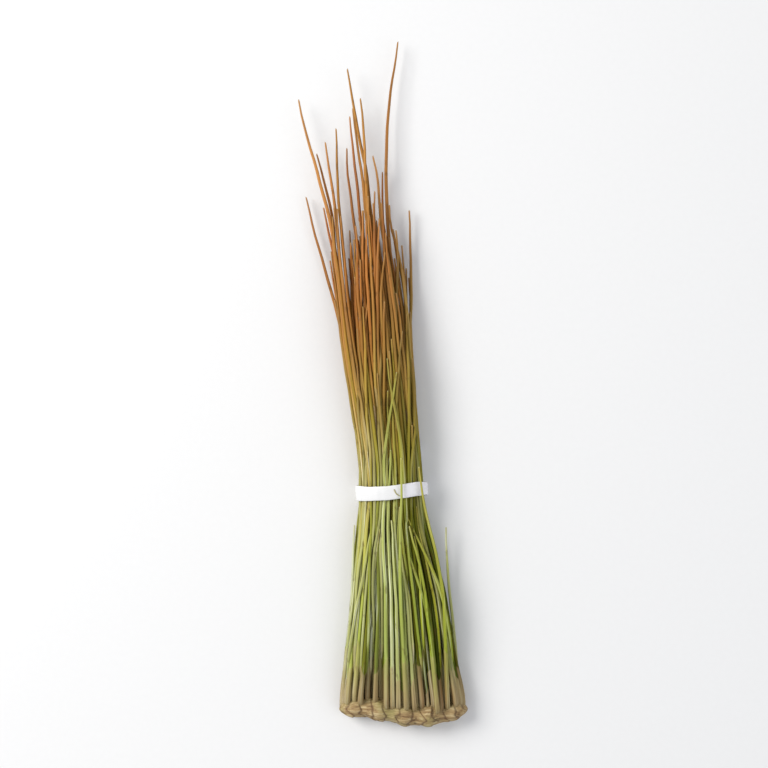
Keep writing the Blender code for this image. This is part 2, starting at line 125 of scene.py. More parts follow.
# Each stray blade's route from the tip down as (x, y), and its tone
OCHRE_STRAYS = (
    (((-6.9, 47.5), (-6.4, 38.0), (-7.0, 30.0), (-5.6, 22.0), (-3.6, 8.0)), 0.15),
    (((-3.3, 45.5), (-5.0, 36.0), (-6.6, 27.5), (-6.0, 16.0), (-4.6, 6.0)), 0.30),
    (((-1.4, 49.0), (-2.4, 40.0), (-2.6, 30.0), (-1.6, 20.0), (-0.6, 8.0)), 0.45),
    (((-1.6, 39.2), (-1.8, 34.0), (-1.9, 29.0), (-2.2, 22.0), (-1.8, 12.0), (-1.4, 4.0)), 0.57),
    (((-5.2, 55.0), (-5.6, 48.0), (-4.6, 38.0), (-3.4, 26.0), (-2.4, 10.0)), 0.15),
    (((-8.6, 54.0), (-8.3, 46.0), (-8.6, 36.0), (-6.8, 24.0), (-5.2, 10.0)), 0.25),
    (((2.2, 33.0), (1.2, 26.0), (0.2, 18.0), (1.2, 9.0), (1.8, 4.0)), 0.85),
    (((-11.9, 57.0), (-11.4, 50.0), (-10.6, 42.0), (-9.2, 30.0), (-6.9, 18.0), (-4.8, 8.0)), 0.34),
    (((-11.2, 58.2), (-10.8, 50.0), (-9.9, 42.0), (-8.6, 30.0), (-6.5, 18.0), (-4.4, 8.0)), 0.22),
    (((-10.6, 56.4), (-10.2, 49.0), (-9.4, 41.0), (-8.0, 30.0), (-6.0, 18.0), (-4.0, 8.0)), 0.41),
    (((-8.4, 51.5), (-8.0, 44.0), (-7.4, 36.0), (-6.9, 26.0), (-5.2, 10.0)), 0.18),
    (((-7.4, 43.5), (-7.3, 38.0), (-7.2, 33.0), (-6.8, 26.0), (-5.8, 16.0), (-4.8, 9.0)), 0.44),
    (((-7.2, 54.5), (-6.9, 47.0), (-6.4, 38.0), (-5.9, 28.0), (-4.6, 12.0)), 0.52),
    (((-6.1, 57.5), (-5.9, 48.0), (-5.6, 40.0), (-5.0, 28.0), (-3.6, 12.0)), 0.28),
    (((-4.7, 61.0), (-4.4, 52.0), (-4.2, 42.0), (-3.6, 30.0), (-2.4, 12.0)), 0.37),
    (((-3.9, 58.6), (-3.5, 50.0), (-3.2, 42.0), (-2.6, 30.0), (-1.4, 12.0)), 0.57),
    (((-2.7, 55.5), (-2.8, 48.0), (-2.9, 40.0), (-3.0, 30.0), (-2.0, 12.0)), 0.33),
    (((-1.4, 52.8), (-0.7, 46.0), (0.3, 38.0), (1.6, 28.0), (3.0, 12.0)), 0.62),
    (((-5.8, 38.0), (-5.6, 22.0), (-5.3, 7.0), (-5.1, 0.0), (-4.9, -7.0), (-4.8, -20.0),
      (-5.6, -42.0)), 0.42),
    (((-7.9, 42.0), (-7.6, 34.0), (-7.0, 24.0), (-6.2, 8.0), (-6.0, 0.0), (-6.4, -14.0),
      (-8.0, -42.0)), 0.35),
    (((-2.4, 33.0), (-2.8, 16.0), (-2.8, 3.0), (-3.1, -6.0), (-3.9, -16.0), (-4.2, -30.0),
      (-4.2, -42.0)), 0.48),
    (((3.0, 36.0), (3.2, 24.0), (3.6, 10.0), (3.9, 0.0), (5.2, -12.0), (8.6, -30.0), (10.4, -42.0)), 0.68),
    (((-6.5, 33.0), (-5.6, 22.0), (-4.7, 10.0), (-4.0, 2.0), (-4.0, -3.0), (-4.6, -10.0), (-5.2, -18.0),
      (-6.0, -30.0), (-6.6, -42.0)), 0.24),
    (((-3.0, 24.0), (-2.1, 10.0), (-2.0, 2.0), (-2.2, -3.0), (-2.4, -10.0), (-2.1, -18.0),
      (-2.2, -42.0)), 0.46),
    (((-1.0, 15.0), (-1.1, 6.0), (-1.0, 1.0), (-1.2, -6.0), (-1.0, -14.0), (-0.8, -24.0),
      (-0.5, -42.0)), 0.58),
    (((-0.4, 29.0), (0.2, 18.0), (0.5, 8.0), (0.9, 1.0), (1.2, -4.0), (1.0, -14.0), (0.5, -26.0),
      (0.6, -42.0)), 0.66),
    (((4.0, 28.0), (4.6, 12.0), (4.1, 4.0), (4.6, -4.0), (4.9, -12.0), (5.0, -18.0), (5.7, -28.0),
      (6.2, -42.0)), 0.80),
    (((-7.2, 26.0), (-6.3, 12.0), (-5.7, 3.0), (-5.8, -3.0), (-6.1, -10.0), (-6.8, -18.0), (-7.6, -30.0),
      (-8.2, -42.0)), 0.14),
    (((4.2, 14.0), (4.7, 8.0), (5.0, 3.0), (5.4, -4.0), (6.3, -10.0), (7.4, -18.0), (8.4, -30.0),
      (8.9, -42.0)), 0.88),
)
GREEN_STRAYS = (
    (((-3.7, -3.0), (-4.9, -10.0), (-6.0, -18.0), (-8.0, -30.0), (-9.0, -42.0)), 0.70),
    (((-1.2, -2.6), (-2.3, -10.0), (-3.4, -18.5), (-4.6, -30.0), (-5.2, -42.0)), 0.95),
    (((2.1, -2.8), (1.4, -10.0), (0.6, -17.0), (-0.6, -30.0), (-1.4, -42.0)), 0.38),
    (((2.9, -3.6), (6.0, -10.0), (9.4, -17.4), (12.0, -28.0), (13.4, -42.0)), 0.12),
    (((-0.2, -4.8), (2.6, -11.0), (5.4, -17.6), (8.4, -28.0), (10.0, -42.0)), 0.30),
    (((4.7, -7.6), (5.4, -12.0), (6.1, -18.0), (6.8, -30.0), (7.0, -42.0)), 0.20),
    (((1.6, -12.2), (2.6, -16.0), (3.5, -20.0), (4.4, -31.0), (4.6, -42.0)), 0.60),
    (((-2.9, -8.2), (-2.4, -13.0), (-1.2, -20.0), (1.2, -31.0), (2.6, -42.0)), 0.30),
    (((-0.5, 8.2), (-1.2, 4.0), (-1.6, 0.0), (-1.7, -6.0), (-3.2, -18.0), (-4.6, -30.0),
      (-5.0, -42.0)), 0.97),
    (((-1.2, 27.0), (0.2, 19.5), (1.4, 13.0), (2.4, 5.0), (2.8, 0.0), (3.6, -10.0), (6.0, -42.0)), 0.22),
    (((6.0, -2.4), (6.9, -7.0), (7.8, -12.0), (8.9, -20.0), (9.8, -30.0), (10.3, -42.0)), 0.10),
    (((1.9, -4.4), (2.4, -10.0), (2.8, -18.0), (2.9, -28.0), (3.4, -42.0)), 0.25),
    (((-3.0, -7.4), (-3.3, -14.0), (-3.6, -20.0), (-3.8, -28.0), (-4.3, -42.0)), 0.26),
)

# Tones of the short and loose blades, from yellow-green at 0 to pale grey-green at 1
GREEN_TONES = {
    "short_blade_01": 0.465, "short_blade_02": 0.30, "short_blade_03": 0.71, "short_blade_04": 0.75,
    "short_blade_05": 1.00, "short_blade_06": 0.58, "short_blade_07": 0.76, "short_blade_08": 0.80,
    "short_blade_09": 0.65, "short_blade_10": 0.09, "loose_blade_01": 0.42, "loose_blade_02": 0.20,
}
# Tones of the two blades in the valley at the middle of the upper part, chosen to darken them: painted shade
# of the valley between their neighbours
VALLEY_SHADE_TONES = {"tall_blade_14": 0.796, "outer_blade_06": 0.877}
# Tones of all others go by the place at the tie, over this width, with chance
TONE_WIDTH = 22.0
TONE_CHANCE = 0.3

# What the random draws start from: surfaces and tones by the number of the blade, and single draws
SOLID_SEED = 50
SOLID_TONE_SEED = 300
INNER_SEED = 400
INNER_TONE_SEED = 700
STRAY_SEED = 900
SECOND_WAVER_SEED = 900
INNER_PLAN_SEED = 7
STRAY_SHIFT_SEED = 8
CROWN_SEEDS = (21, 22)
TIE_SEEDS = (31, 32)

# Foot: a bar across the bunch with knots, slow swells, overlapping scales, ribs, and a collar at each blade
CROWN_LEFT = -10.8
CROWN_RIGHT = 15.6
CROWN_Y = -45.2
CROWN_Z = 2.5
CROWN_RADIUS = 3.6
CROWN_DEPTH_SHARE = 0.66
CROWN_BOW = 0.7
CROWN_KNOTS = 5
CROWN_SWELLS = 1.6
KNOT_RISE = 0.10
CROWN_INSET = 0.12
CROWN_ROWS = 380
CROWN_SIDES = 150
CROWN_END = 0.05
SCALES = 11
SCALE_WAVINESS = 0.42
SCALE_SLANT = 0.1
SCALE_RISE = 0.20
SCALE_SLOPE = (0.0, 0.8)
SCALE_DROP = (0.86, 1.0)
SEAM_WIDTHS = (0.13, 0.05)
UNEVEN_RISE = 0.08
RIBS = 34
RIB_RISE = 0.05
COLLAR_RISE = 0.42
COLLAR_RADIUS = 0.25
COLLAR_SPREAD = 0.65

# Tie: a flat strip round the bunch, and its two ends that wind round each other
TIE_WIDTH = 3.1
TIE_THICKNESS = 0.5
TIE_INNER_HALF_WIDTH = 7.0
TIE_INNER_HALF_HEIGHT = 4.25
TIE_CENTRE_Z = 4.5
TIE_LOWEST = 0.26
TIE_SLANT = math.radians(3.5)
TIE_STEPS = 160
TIE_SIDES = 28
TOP_NARROWING = 0.25
TOP_NARROWING_PLACE = (-7.0, -4.0)
RIGHT_NARROWING = 0.30
RIGHT_NARROWING_PLACE = (5.6, 7.3)
TIE_LAP = 0.14
TIE_LAP_PLACE = (0.9, 1.35)
TIE_FLAT_PLACE = (0.9, 0.2)
TIE_TOP_PLACE = (3.0, 6.5)
TIE_CREASED_PLACE = (1.0, 3.0)
TIE_BOW = 0.20
TIE_BOW_LENGTH = 17.0
TIE_BOW_PLACE = -2.6
TIE_CREASE = 0.05
CREASES_ROUND = 9.0
BENDS_ROUND = 5.0
WIRE_SHARE = 0.12
WIRE_SWELL = 0.14
EDGE_ROUNDNESS = 0.55
FACE_FLATNESS = 0.7
TWIST_START = (5.1, 0.0, 1.0)
TWIST_END = (5.3, 9.0, 0.95)
TWIST_TURN = math.radians(540.0)
TWIST_SHARE = 0.8
TWIST_PHASE = 0.3
TWIST_STEPS = 60
TWIST_APART = 0.30
TWIST_DEPTH_SHARE = 0.62
TWIST_SPREADS = (0.05, 0.10)
TWIST_SPREAD_PLACE = (0.75, 1.0)
END_WIDTH = 1.15
END_THICKNESS = 0.34
END_SIDES = 16
END_WIRE = 0.16
END_LOWEST = 0.05

# A scrap of blade on the tie: its route as (x, y), thickness, tone, and how worn it is
SCRAP = ((0.45, 0.60), (0.62, 0.10), (0.98, -0.42), (1.65, -0.85))
SCRAP_RADIUS = 0.11
SCRAP_LENGTH = 2.0
SCRAP_VALUES = {"tone": 0.9, "from_tip": 5.0, "sheath": 0.6}
SCRAP_ROWS = 16
SCRAP_SIDES = 10

# Heights along the bunch, in metres, between which a blade's finish changes
FOOT_TO_TIP = (-0.048, 0.092)
LOW_PART = (0.024, -0.012)
BELOW_TIE = (0.004, -0.012)

# The two finishes of the blades: colours from foot to tip, light and dark with the tone, the dryness of the
# tip, the colour of the cut end, and the line by which painted highlight lines and a wet shine go with the
# tone. On the ochre blades, whose tone follows their place across the tie, darker with the tone is painted
# shade towards the right, away from the key light.
OCHRE = {
    "stops": ((0.00, (0.25, 0.28, 0.018)), (0.22, (0.33, 0.34, 0.022)), (0.31, (0.38, 0.345, 0.030)),
              (0.41, (0.41, 0.28, 0.034)), (0.53, (0.42, 0.235, 0.038)), (0.64, (0.43, 0.178, 0.029)),
              (0.81, (0.45, 0.175, 0.030)), (1.00, (0.50, 0.22, 0.045))),
    # painted shade: darker towards the right with the tone
    "light": (1.14, 0.86),
    "dryness": 0.5,
    "cut": (0.45, 0.32, 0.14),
    # painted highlight lines, fewer towards the right
    "lines": (-1.1, 1.25),
    "wet": (-1.1, 1.15),
}
GREEN = {
    "stops": ((0.00, (0.24, 0.29, 0.015)), (0.22, (0.37, 0.42, 0.022)), (0.34, (0.44, 0.43, 0.050)),
              (0.52, (0.44, 0.34, 0.045)), (1.00, (0.42, 0.26, 0.040))),
    "light": (0.95, 1.05),
    "dryness": 0.15,
    "cut": (0.55, 0.52, 0.28),
    # painted highlight lines, more on the paler blades
    "lines": (0.8, 0.3),
    "wet": (0.7, 0.25),
}

# What differs from blade to blade: numbers drawn from its tone, lightness, and tints
LIGHTNESS_DRAW = 37.7
TINT_DRAW = 61.7
PALENESS_DRAW = 91.3
LIGHTNESS = (0.74, 1.16)
TINTS = ((0.0, (1.06, 0.91, 1.00)), (0.35, (1.0, 1.0, 1.25)), (0.7, (0.90, 1.04, 1.50)),
         (1.0, (0.86, 0.96, 0.75)))
TONE_SHIFT = 0.18
STREAKS = (0.52, 1.30)
# Fewer pale blades towards the right: painted shade away from the key light
PALENESS_AND_HIGHLIGHT_BY_TONE = (-1.2, 0.35)
# Painted side light below the tie: the left of the bunch lighter and the right darker, as lit from the left
PAINTED_SIDE_LIGHT = (0.85, 0.80, 1.5)

# Fibres: how far round a ring and how fast along a millimetre the noise is read, how far it moves with
# the tone, and its share beside the broad patches. Ribs: how many, and their share of the bump.
FIBRES_ROUND = 2.3
FIBRES_ALONG = 0.05
FIBRES_MOVE = 57.0
FINE_SHARE = 0.6
BLADE_RIBS = 11
BLADE_RIB_SHARE = 0.25

# How finely other noises are read along x, y and z of a metre
PATCHES = (260.0, 60.0, 260.0)
SPECKS = (900.0, 420.0, 900.0)
CROWN_FIBRES = (180.0, 1500.0, 1500.0)
TIE_CREASES = (500.0, 1300.0, 500.0)
CROWN_PATCHES = 230.0
FLOOR_SPECKLE = 900.0

# Masks as (low, high, start, end): start where a value is low, end where it is high, and 0 and 1 where
# they aren't given. Also the length of a dry tip and how brown a sheath is.
STREAK_MASK = (0.32, 0.68)
SPECK_MASK = (0.60, 0.70)
# Pale blades: partly their own pale colour, partly painted highlight
PALE_AND_HIGHLIGHT_MASK = (0.15, 0.7, 0.0, 0.58)
SILVERY_MASK = (0.85, 1.0, 0.0, 0.55)
# Painted highlight lines along the low part of the blades
PAINTED_HIGHLIGHT_LINE_MASK = (0.65, 0.80, 0.0, 0.88)
CUT_MASK = (0.05, 0.3, 0.8, 0.0)
DRY_LENGTH = 4.0
SHEATH_SHARE = 0.85
CROWN_GREEN_MASK = (0.45, 0.7, 0.0, 0.6)
# Painted shade in the tie's creases
TIE_CREASE_SHADE_MASK = (0.52, 0.72, 0.0, 0.35)
TIE_RIGHT_PART = (0.0005, 0.0032)

# Bumps as (strength, distance in metres), roughness as (in dark streaks, in light streaks), and shine
BLADE_BUMP = (0.35, 0.00006)
CROWN_BUMP = (0.6, 0.00025)
TIE_BUMP = (0.5, 0.0003)
BLADE_ROUGHNESS = (0.34, 0.56)
CROWN_ROUGHNESS = (0.55, 0.85)
TIE_ROUGHNESS = (0.20, 0.34)
WET_COAT = 0.30
SPECULAR_BY_DULLNESS = (-0.18, 0.20)

# Colours
WHITE = (1.0, 1.0, 1.0)
# Painted shade on the ochre blades' low part towards the right, together with their deeper green
LOW_SHADE = (0.50, 0.50, 0.16)
# Colour of the pale blades: partly their own, partly painted highlight
PALE_GREEN_AND_HIGHLIGHT = (0.53, 0.53, 0.23)
SILVERY = (0.62, 0.63, 0.50)
# Painted highlight lines
PAINTED_HIGHLIGHT_LINE = (0.87, 0.87, 0.73)
SPECK = (0.10, 0.05, 0.015)
DRY_TIP = (0.46, 0.26, 0.09)
SHEATH_BROWN = (0.26, 0.13, 0.05)
SHEATH_STRAW = (0.52, 0.44, 0.25)
CROWN_STOPS = ((0.30, (0.16, 0.085, 0.03)), (0.50, (0.36, 0.24, 0.10)), (0.68, (0.55, 0.44, 0.24)))
CROWN_GREEN = (0.30, 0.28, 0.09)
SCALE_EDGE = (0.11, 0.05, 0.02)
COLLAR_STRAW = (0.50, 0.44, 0.20)
CROWN_SPECK = (0.07, 0.035, 0.012)
TIE_WHITE = (0.765, 0.765, 0.76)
TIE_RIGHT_WHITE = (0.84, 0.83, 0.87)
# Painted shade in the tie's creases
TIE_CREASE_SHADE = (0.60, 0.60, 0.58)
TIE_WIRE = (0.70, 0.70, 0.70)
FLOOR_WHITES = ((0.79, 0.79, 0.785), (0.81, 0.81, 0.805))

# Floor, lights as (name, place, size, power, tint), and the room
FLOOR_HALF = 2500.0
LIGHTS = (
    ("key", (-0.42, 0.22, 0.44), 0.34, 3.6, (1.0, 0.98, 0.95)),
    ("fill", (0.40, -0.15, 0.50), 0.50, 0.8, (0.95, 0.97, 1.0)),
)
ROOM_TINT = (0.93, 0.95, 1.0)
ROOM_STRENGTH = 0.56

# Camera
LENS = 90.0
SENSOR = 36.0
VIEW_HEIGHT = 157.0
VIEW_CENTRE = (-1.6, 21.8, 4.0)
NEAREST_SEEN = 0.01


# Meshes

def put_mesh(name, points, quads, triangles, uvs=None, values=None):
    """A new object at the origin from points in millimetres, faces as arrays of corners, one UV pair for
    each corner and named values for each point."""
    mesh = bpy.data.meshes.new(name)
    mesh.vertices.add(len(points))
    mesh.vertices.foreach_set("co", (np.asarray(points) * MM).astype(np.float32).ravel())
    corners = np.concatenate([quads.ravel(), triangles.ravel()]).astype(np.int32)
    sizes = np.concatenate([np.full(len(quads), 4), np.full(len(triangles), 3)])
    mesh.loops.add(len(corners))
    mesh.loops.foreach_set("vertex_index", corners)
    mesh.polygons.add(len(sizes))
    mesh.polygons.foreach_set("loop_start", (np.cumsum(sizes) - sizes).astype(np.int32))
    mesh.polygons.foreach_set("use_smooth", np.ones(len(sizes), bool))
    if uvs is not None:
        layer = mesh.uv_layers.new(name="surface")
        layer.uv.foreach_set("vector", uvs.astype(np.float32).ravel())
    for label, numbers in (values or {}).items():
        attribute = mesh.attributes.new(label, "FLOAT", "POINT")
        attribute.data.foreach_set("value", np.asarray(numbers, np.float32).ravel())
    mesh.update(calc_edges=True)
    obj = bpy.data.objects.new(name, mesh)
    bpy.context.scene.collection.objects.link(obj)
    return obj


def grid_faces(rows, sides, along, closed=False):
    """Quads from ring to ring, facing outwards, and back to the first ring where closed, with their UV
    pairs: u is the share round the ring and v is along, one for each ring and one more where closed."""
    row, side = np.meshgrid(np.arange(rows if closed else rows - 1), np.arange(sides), indexing="ij")
    row_after, side_after = (row + 1) % rows, (side + 1) % sides
    quads = np.stack([row * sides + side, row * sides + side_after,
                      row_after * sides + side_after, row_after * sides + side], axis=-1)
    u = np.stack([side, side + 1, side + 1, side], axis=-1) / sides
    v = along[np.stack([row, row, row + 1, row + 1], axis=-1)]
    return quads.reshape(-1, 4), np.stack([u, v], axis=-1).reshape(-1, 2)


def end_fans(rows, sides, along):
    """A fan of triangles to a middle point at each end of a tube, with their UV pairs. The two middle
    points come after the rings."""
    around = np.arange(sides)
    after = (around + 1) % sides
    last_ring = (rows - 1) * sides
    start = np.stack([np.full(sides, rows * sides), after, around], axis=-1)
    end = np.stack([np.full(sides, rows * sides + 1), last_ring + around, last_ring + after], axis=-1)
    left = around / sides
    right, middle = left + 1.0 / sides, left + 0.5 / sides
    u = np.concatenate([np.stack([middle, right, left], axis=-1), np.stack([middle, left, right], axis=-1)])
    v = np.repeat([along[0], along[-1]], sides)[:, None] * np.ones(3)
    return np.concatenate([start, end]), np.stack([u, v], axis=-1).reshape(-1, 2)


def tube(rings, along, first, last, values):
    """A closed tube from rings (rows, sides, 3) and a middle point for each end: its points, quads,
    triangles, UVs and values."""
    rows, sides = rings.shape[:2]
    quads, quad_uvs = grid_faces(rows, sides, along)
    triangles, triangle_uvs = end_fans(rows, sides, along)
    points = np.concatenate([rings.reshape(-1, 3), first[None], last[None]])
    spread = {}
    for label, numbers in values.items():
        numbers = np.broadcast_to(numbers, (rows, sides))
        spread[label] = np.concatenate([numbers.ravel(), [numbers[0].mean(), numbers[-1].mean()]])
    return points, quads, triangles, np.concatenate([quad_uvs, triangle_uvs]), spread


def joined(parts):
    """Several closed surfaces as one set of points, quads, triangles, UVs and values."""
    points, quads, triangles, uvs, values = zip(*parts)
    shifts = np.cumsum([0] + [len(part) for part in points[:-1]])
    corners = [4 * len(part) for part in quads]
    quad_uvs = [part[:count] for part, count in zip(uvs, corners)]
    triangle_uvs = [part[count:] for part, count in zip(uvs, corners)]
    return (np.concatenate(points),
            np.concatenate([part + shift for part, shift in zip(quads, shifts)]),
            np.concatenate([part + shift for part, shift in zip(triangles, shifts)]),
            np.concatenate(quad_uvs + triangle_uvs),
            {label: np.concatenate([part[label] for part in values]) for label in values[0]})


def finish(piece, slot, looks):
    """Gives a piece the look of its slot, and lets it ride on the frame."""
    piece.data.materials.append(looks[slot])
    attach(piece, "root")


# Curves

def smooth_step(low, high, value):
    """0 below low, 1 above high, and 3t² - 2t³ between them."""
    share = np.clip((value - low) / (high - low), 0.0, 1.0)
    return share * share * (3.0 - 2.0 * share)


def eased(stations, values, wanted):
    """A cubic through values at stations, whose slope at each is that of its neighbours, read at wanted."""
    slopes = np.gradient(values, stations, axis=0)
    cell = np.clip(np.searchsorted(stations, wanted, side="right") - 1, 0, len(stations) - 2)
    step = (stations[cell + 1] - stations[cell])[..., None]
    t = ((wanted - stations[cell])[..., None]) / step
    start, end = values[cell], values[cell + 1]
    leave, arrive = slopes[cell] * step, slopes[cell + 1] * step
    return ((2.0 * t**3 - 3.0 * t**2 + 1.0) * start + (t**3 - 2.0 * t**2 + t) * leave
            + (3.0 * t**2 - 2.0 * t**3) * end + (t**3 - t**2) * arrive)


def lengths_along(middles):
    """How far along the line each of its points is."""
    return np.concatenate([[0.0], np.cumsum(np.linalg.norm(np.diff(middles, axis=0), axis=1))])


def unit(vectors):
    """The same directions with length 1."""
    return vectors / np.linalg.norm(vectors, axis=-1, keepdims=True)


def noise(seed, *axes):
    """Smooth uneven numbers between -1 and 1: three sines of the axes, read 1, 2.3 and 4.1 times as fast."""
    chance = np.random.default_rng(seed)
    total = 0.0
    for rate, share in ((1.0, 0.5), (2.3, 0.3), (4.1, 0.2)):
        phase = chance.uniform(0.0, TURN)
        total = total + share * np.sin(sum(axis * rate * chance.uniform(0.8, 1.2) for axis in axes) + phase)
    return total


# A blade's surface

def solid_blade(name):
    """The middles and radii of the rings of a blade's solid, from foot to tip."""
    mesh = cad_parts[name].data
    points = np.empty(len(mesh.vertices) * 3)
    mesh.vertices.foreach_get("co", points)
    points = np.unique(np.round(points.reshape(-1, 3) / MM, 3), axis=0)
    points = points[np.argsort(points[:, 1])]
    breaks = np.flatnonzero(np.diff(points[:, 1]) > RING_BREAK) + 1
    rings = np.split(points, breaks)
    middles = np.array([ring.mean(axis=0) for ring in rings])
    radii = np.array([np.linalg.norm(ring - ring.mean(axis=0), axis=1).mean() for ring in rings])
    return middles, radii


def thin_radii(middles):
    """A thin blade's radius at each point: full for most of the way, and half of that at the tip."""
    to_tip = middles[-1, 1] - middles[:, 1]
    return INNER_RADIUS * (0.5 + 0.5 * smooth_step(0.0, THIN_TAPER, to_tip))


def rooted(middles, radii):
    """A blade's line and radii with one more point in front, FOOT_DEPTH further towards the middle of the
    foot's bar."""
    share = (middles[0, 0] - CROWN_LEFT) / (CROWN_RIGHT - CROWN_LEFT)
    foot = middles[0] + unit(np.array([*crown_line(share), CROWN_Z]) - middles[0]) * FOOT_DEPTH
    return np.concatenate([foot[None], middles]), np.concatenate([radii[:1], radii])


def blade_rows(sheath, whole, tip_length, row_step):
    """How far along the blade each ring is at each angle: up to the sheath's slanted mouth, on to the tip,
    and then closer together as the tip closes. Three sets of rings."""
    count = max(int((whole - sheath.mean() - tip_length) / row_step), FEWEST_ROWS)
    lower = np.linspace(0.0, 1.0, SHEATH_ROWS)[:, None] * (sheath - SHEATH_LIP)
    upper = sheath + np.linspace(0.0, 1.0, count)[:, None] ** ROW_CROWDING * (whole - tip_length - sheath)
    quarter = np.linspace(0.0, 0.5 * math.pi, TIP_ROWS + 1)[1:-1, None]
    return lower, upper, whole - tip_length * np.cos(quarter) * np.ones(len(sheath))


def square_to(stations, middles, distance):
    """Two directions square to the line at each distance: the one that points up most, and beside it."""
    ahead = eased(stations, middles, np.minimum(distance + LOOK_AHEAD, stations[-1]))
    behind = eased(stations, middles, np.maximum(distance - LOOK_AHEAD, 0.0))
    direction = unit(ahead - behind)
    across = unit(UP - direction * direction[..., 2:3])
    return across, np.cross(direction, across)


def wavering(seed, middle, across, beside, distance, to_tip):
    """The line moved a little to and fro in both directions: not at the foot, and three times as far at
    the tip."""
    waver = WAVER * smooth_step(0.0, WAVER_GROWS_OVER, distance)
    waver = waver * (1.0 + 2.0 * smooth_step(*WAVER_NEAR_TIP, to_tip))
    first, second = WAVER_LENGTHS
    middle = middle + across * (waver * noise(seed, distance / first))[..., None]
    return middle + beside * (waver * noise(seed + SECOND_WAVER_SEED, distance / second))[..., None]


def section_reach(turned):
    """The section's reach at an angle: an ellipse, times low ridges, times one channel."""
    ellipse = 1.0 / np.sqrt(np.cos(turned) ** 2 + (np.sin(turned) / FLATNESS) ** 2)
    ridged = ellipse * (1.0 + RIDGE_RISE * np.cos(RIDGES * turned))
    from_channel = np.mod(turned, TURN) - math.pi
    return ridged * (1.0 - CHANNEL_DEPTH * np.exp(-(from_channel / CHANNEL_WIDTH) ** 2))


def blade_surface(middles, radii, seed, tone, tip=BLUNT_TIP, sides=THIN_SIDES, row_step=THIN_ROW_STEP):
    """A blade as a tube round its line: at distance d and angle a, the middle of d plus the radius of d
    times the section at a.

    The section turns slowly along the blade. The lowest part bends into the foot and is a thicker sheath
    with a slanted mouth, the line wavers a little, and the tip is rounded off.
    """
    chance = np.random.default_rng(seed)
    middles, radii = rooted(middles, radii)
    stations = lengths_along(middles)
    whole = stations[-1]
    angles = np.arange(sides) * TURN / sides
    sheath = FOOT_DEPTH + chance.uniform(*SHEATH_LENGTHS)
    sheath = sheath + chance.uniform(*SHEATH_SLANTS) * np.cos(angles + chance.uniform(0.0, TURN))
    tip_length = tip * radii[-1] / TIP_RADIUS
    lower, upper, end = blade_rows(sheath, whole, tip_length, row_step)
    distance = np.concatenate([lower, upper, end])
    in_sheath = np.concatenate([np.ones(lower.shape), np.zeros(upper.shape), np.zeros(end.shape)])
    across, beside = square_to(stations, middles, distance)
    middle = eased(stations, middles, distance)
    middle = wavering(seed, middle, across, beside, distance, whole - distance)
    turned = angles + math.pi + chance.uniform(-FIRST_TURN, FIRST_TURN)
    turned = turned + distance * chance.uniform(-TURN_RATE, TURN_RATE)
    thinning = 1.0 - 0.5 * smooth_step(0.0, SHEATH_THINS_OVER, distance)
    swell = 1.0 + SHEATH_THICKNESS / BLADE_RADIUS * in_sheath * thinning
    from_end = 1.0 - np.clip((whole - distance) / tip_length, 0.0, 1.0)
    closing = np.sqrt(np.clip(1.0 - from_end ** 2, 0.0, 1.0))
    reach = eased(stations, radii[:, None], distance)[..., 0] * section_reach(turned) * swell * closing
    outward = across * np.cos(angles)[:, None] + beside * np.sin(angles)[:, None]
    rings = middle + reach[..., None] * outward
    rings[..., 2] = np.maximum(rings[..., 2], 0.0)
    worn = in_sheath * (1.0 - SHEATH_FADE * smooth_step(*SHEATH_FADES, distance))
    values = {"tone": tone, "from_tip": whole - distance, "sheath": worn}
    return tube(rings, distance.mean(axis=1), rings[0].mean(axis=0), middles[-1], values)


def blade_tone(middles, seed):
    """A blade's place in the range of colours, from ochre at the left to green at the right, with chance."""
    x_at_tie = np.interp(0.0, middles[:, 1], middles[:, 0])
    strays = np.random.default_rng(seed).uniform(-TONE_CHANCE, TONE_CHANCE)
    return float(np.clip(0.5 + x_at_tie / TONE_WIDTH + strays, 0.0, 1.0))


# Where the thin blades run

def spots_at(line, heights):
    """The (x, z) of a line at the heights, not a number above its tip and below its foot."""
    spots = np.stack([np.interp(heights, line[:, 1], line[:, axis]) for axis in (0, 2)], axis=-1)
    spots[(heights > line[-1, 1]) | (heights < line[0, 1])] = np.nan
    return spots


def side_lengths(corners):
    """How long the three sides between three corners are."""
    return np.linalg.norm(corners - np.roll(corners, 1, axis=0), axis=1)


def threes_at(lines, height):
    """Threes of neighbouring lines that reach the height, each with its corners' (x, z)."""
    numbers = [number for number, line in enumerate(lines) if line[0, 1] < height < line[-1, 1]]
    corners = np.array([spots_at(lines[number], np.array([height]))[0] for number in numbers])
    threes = delaunay_2d_cdt([tuple(corner) for corner in corners], [], [], 0, 1e-6)[2]
    found = [([numbers[corner] for corner in three], corners[list(three)]) for three in threes]
    return [(three, spots) for three, spots in found if side_lengths(spots).max() < WIDEST_SIDE]


def widest_threes(lines, height, most):
    """The threes with the most room between them."""
    threes = sorted(threes_at(lines, height), key=lambda three: -side_lengths(three[1]).min())
    return [numbers for numbers, _ in threes[:most]]


def outer_pairs(lines, height):
    """Pairs of neighbours along the outside of the bunch: the sides that only one three has, each with the
    direction outwards."""
    sides = {}
    for numbers, spots in threes_at(lines, height):
        for first in range(3):
            second, third = (first + 1) % 3, (first + 2) % 3
            pair = tuple(sorted((numbers[first], numbers[second])))
            outwards = 0.5 * (spots[first] + spots[second]) - spots[third]
            sides.setdefault(pair, []).append(unit(outwards))
    return [(pair, outwards[0]) for pair, outwards in sorted(sides.items()) if len(outwards) == 1]


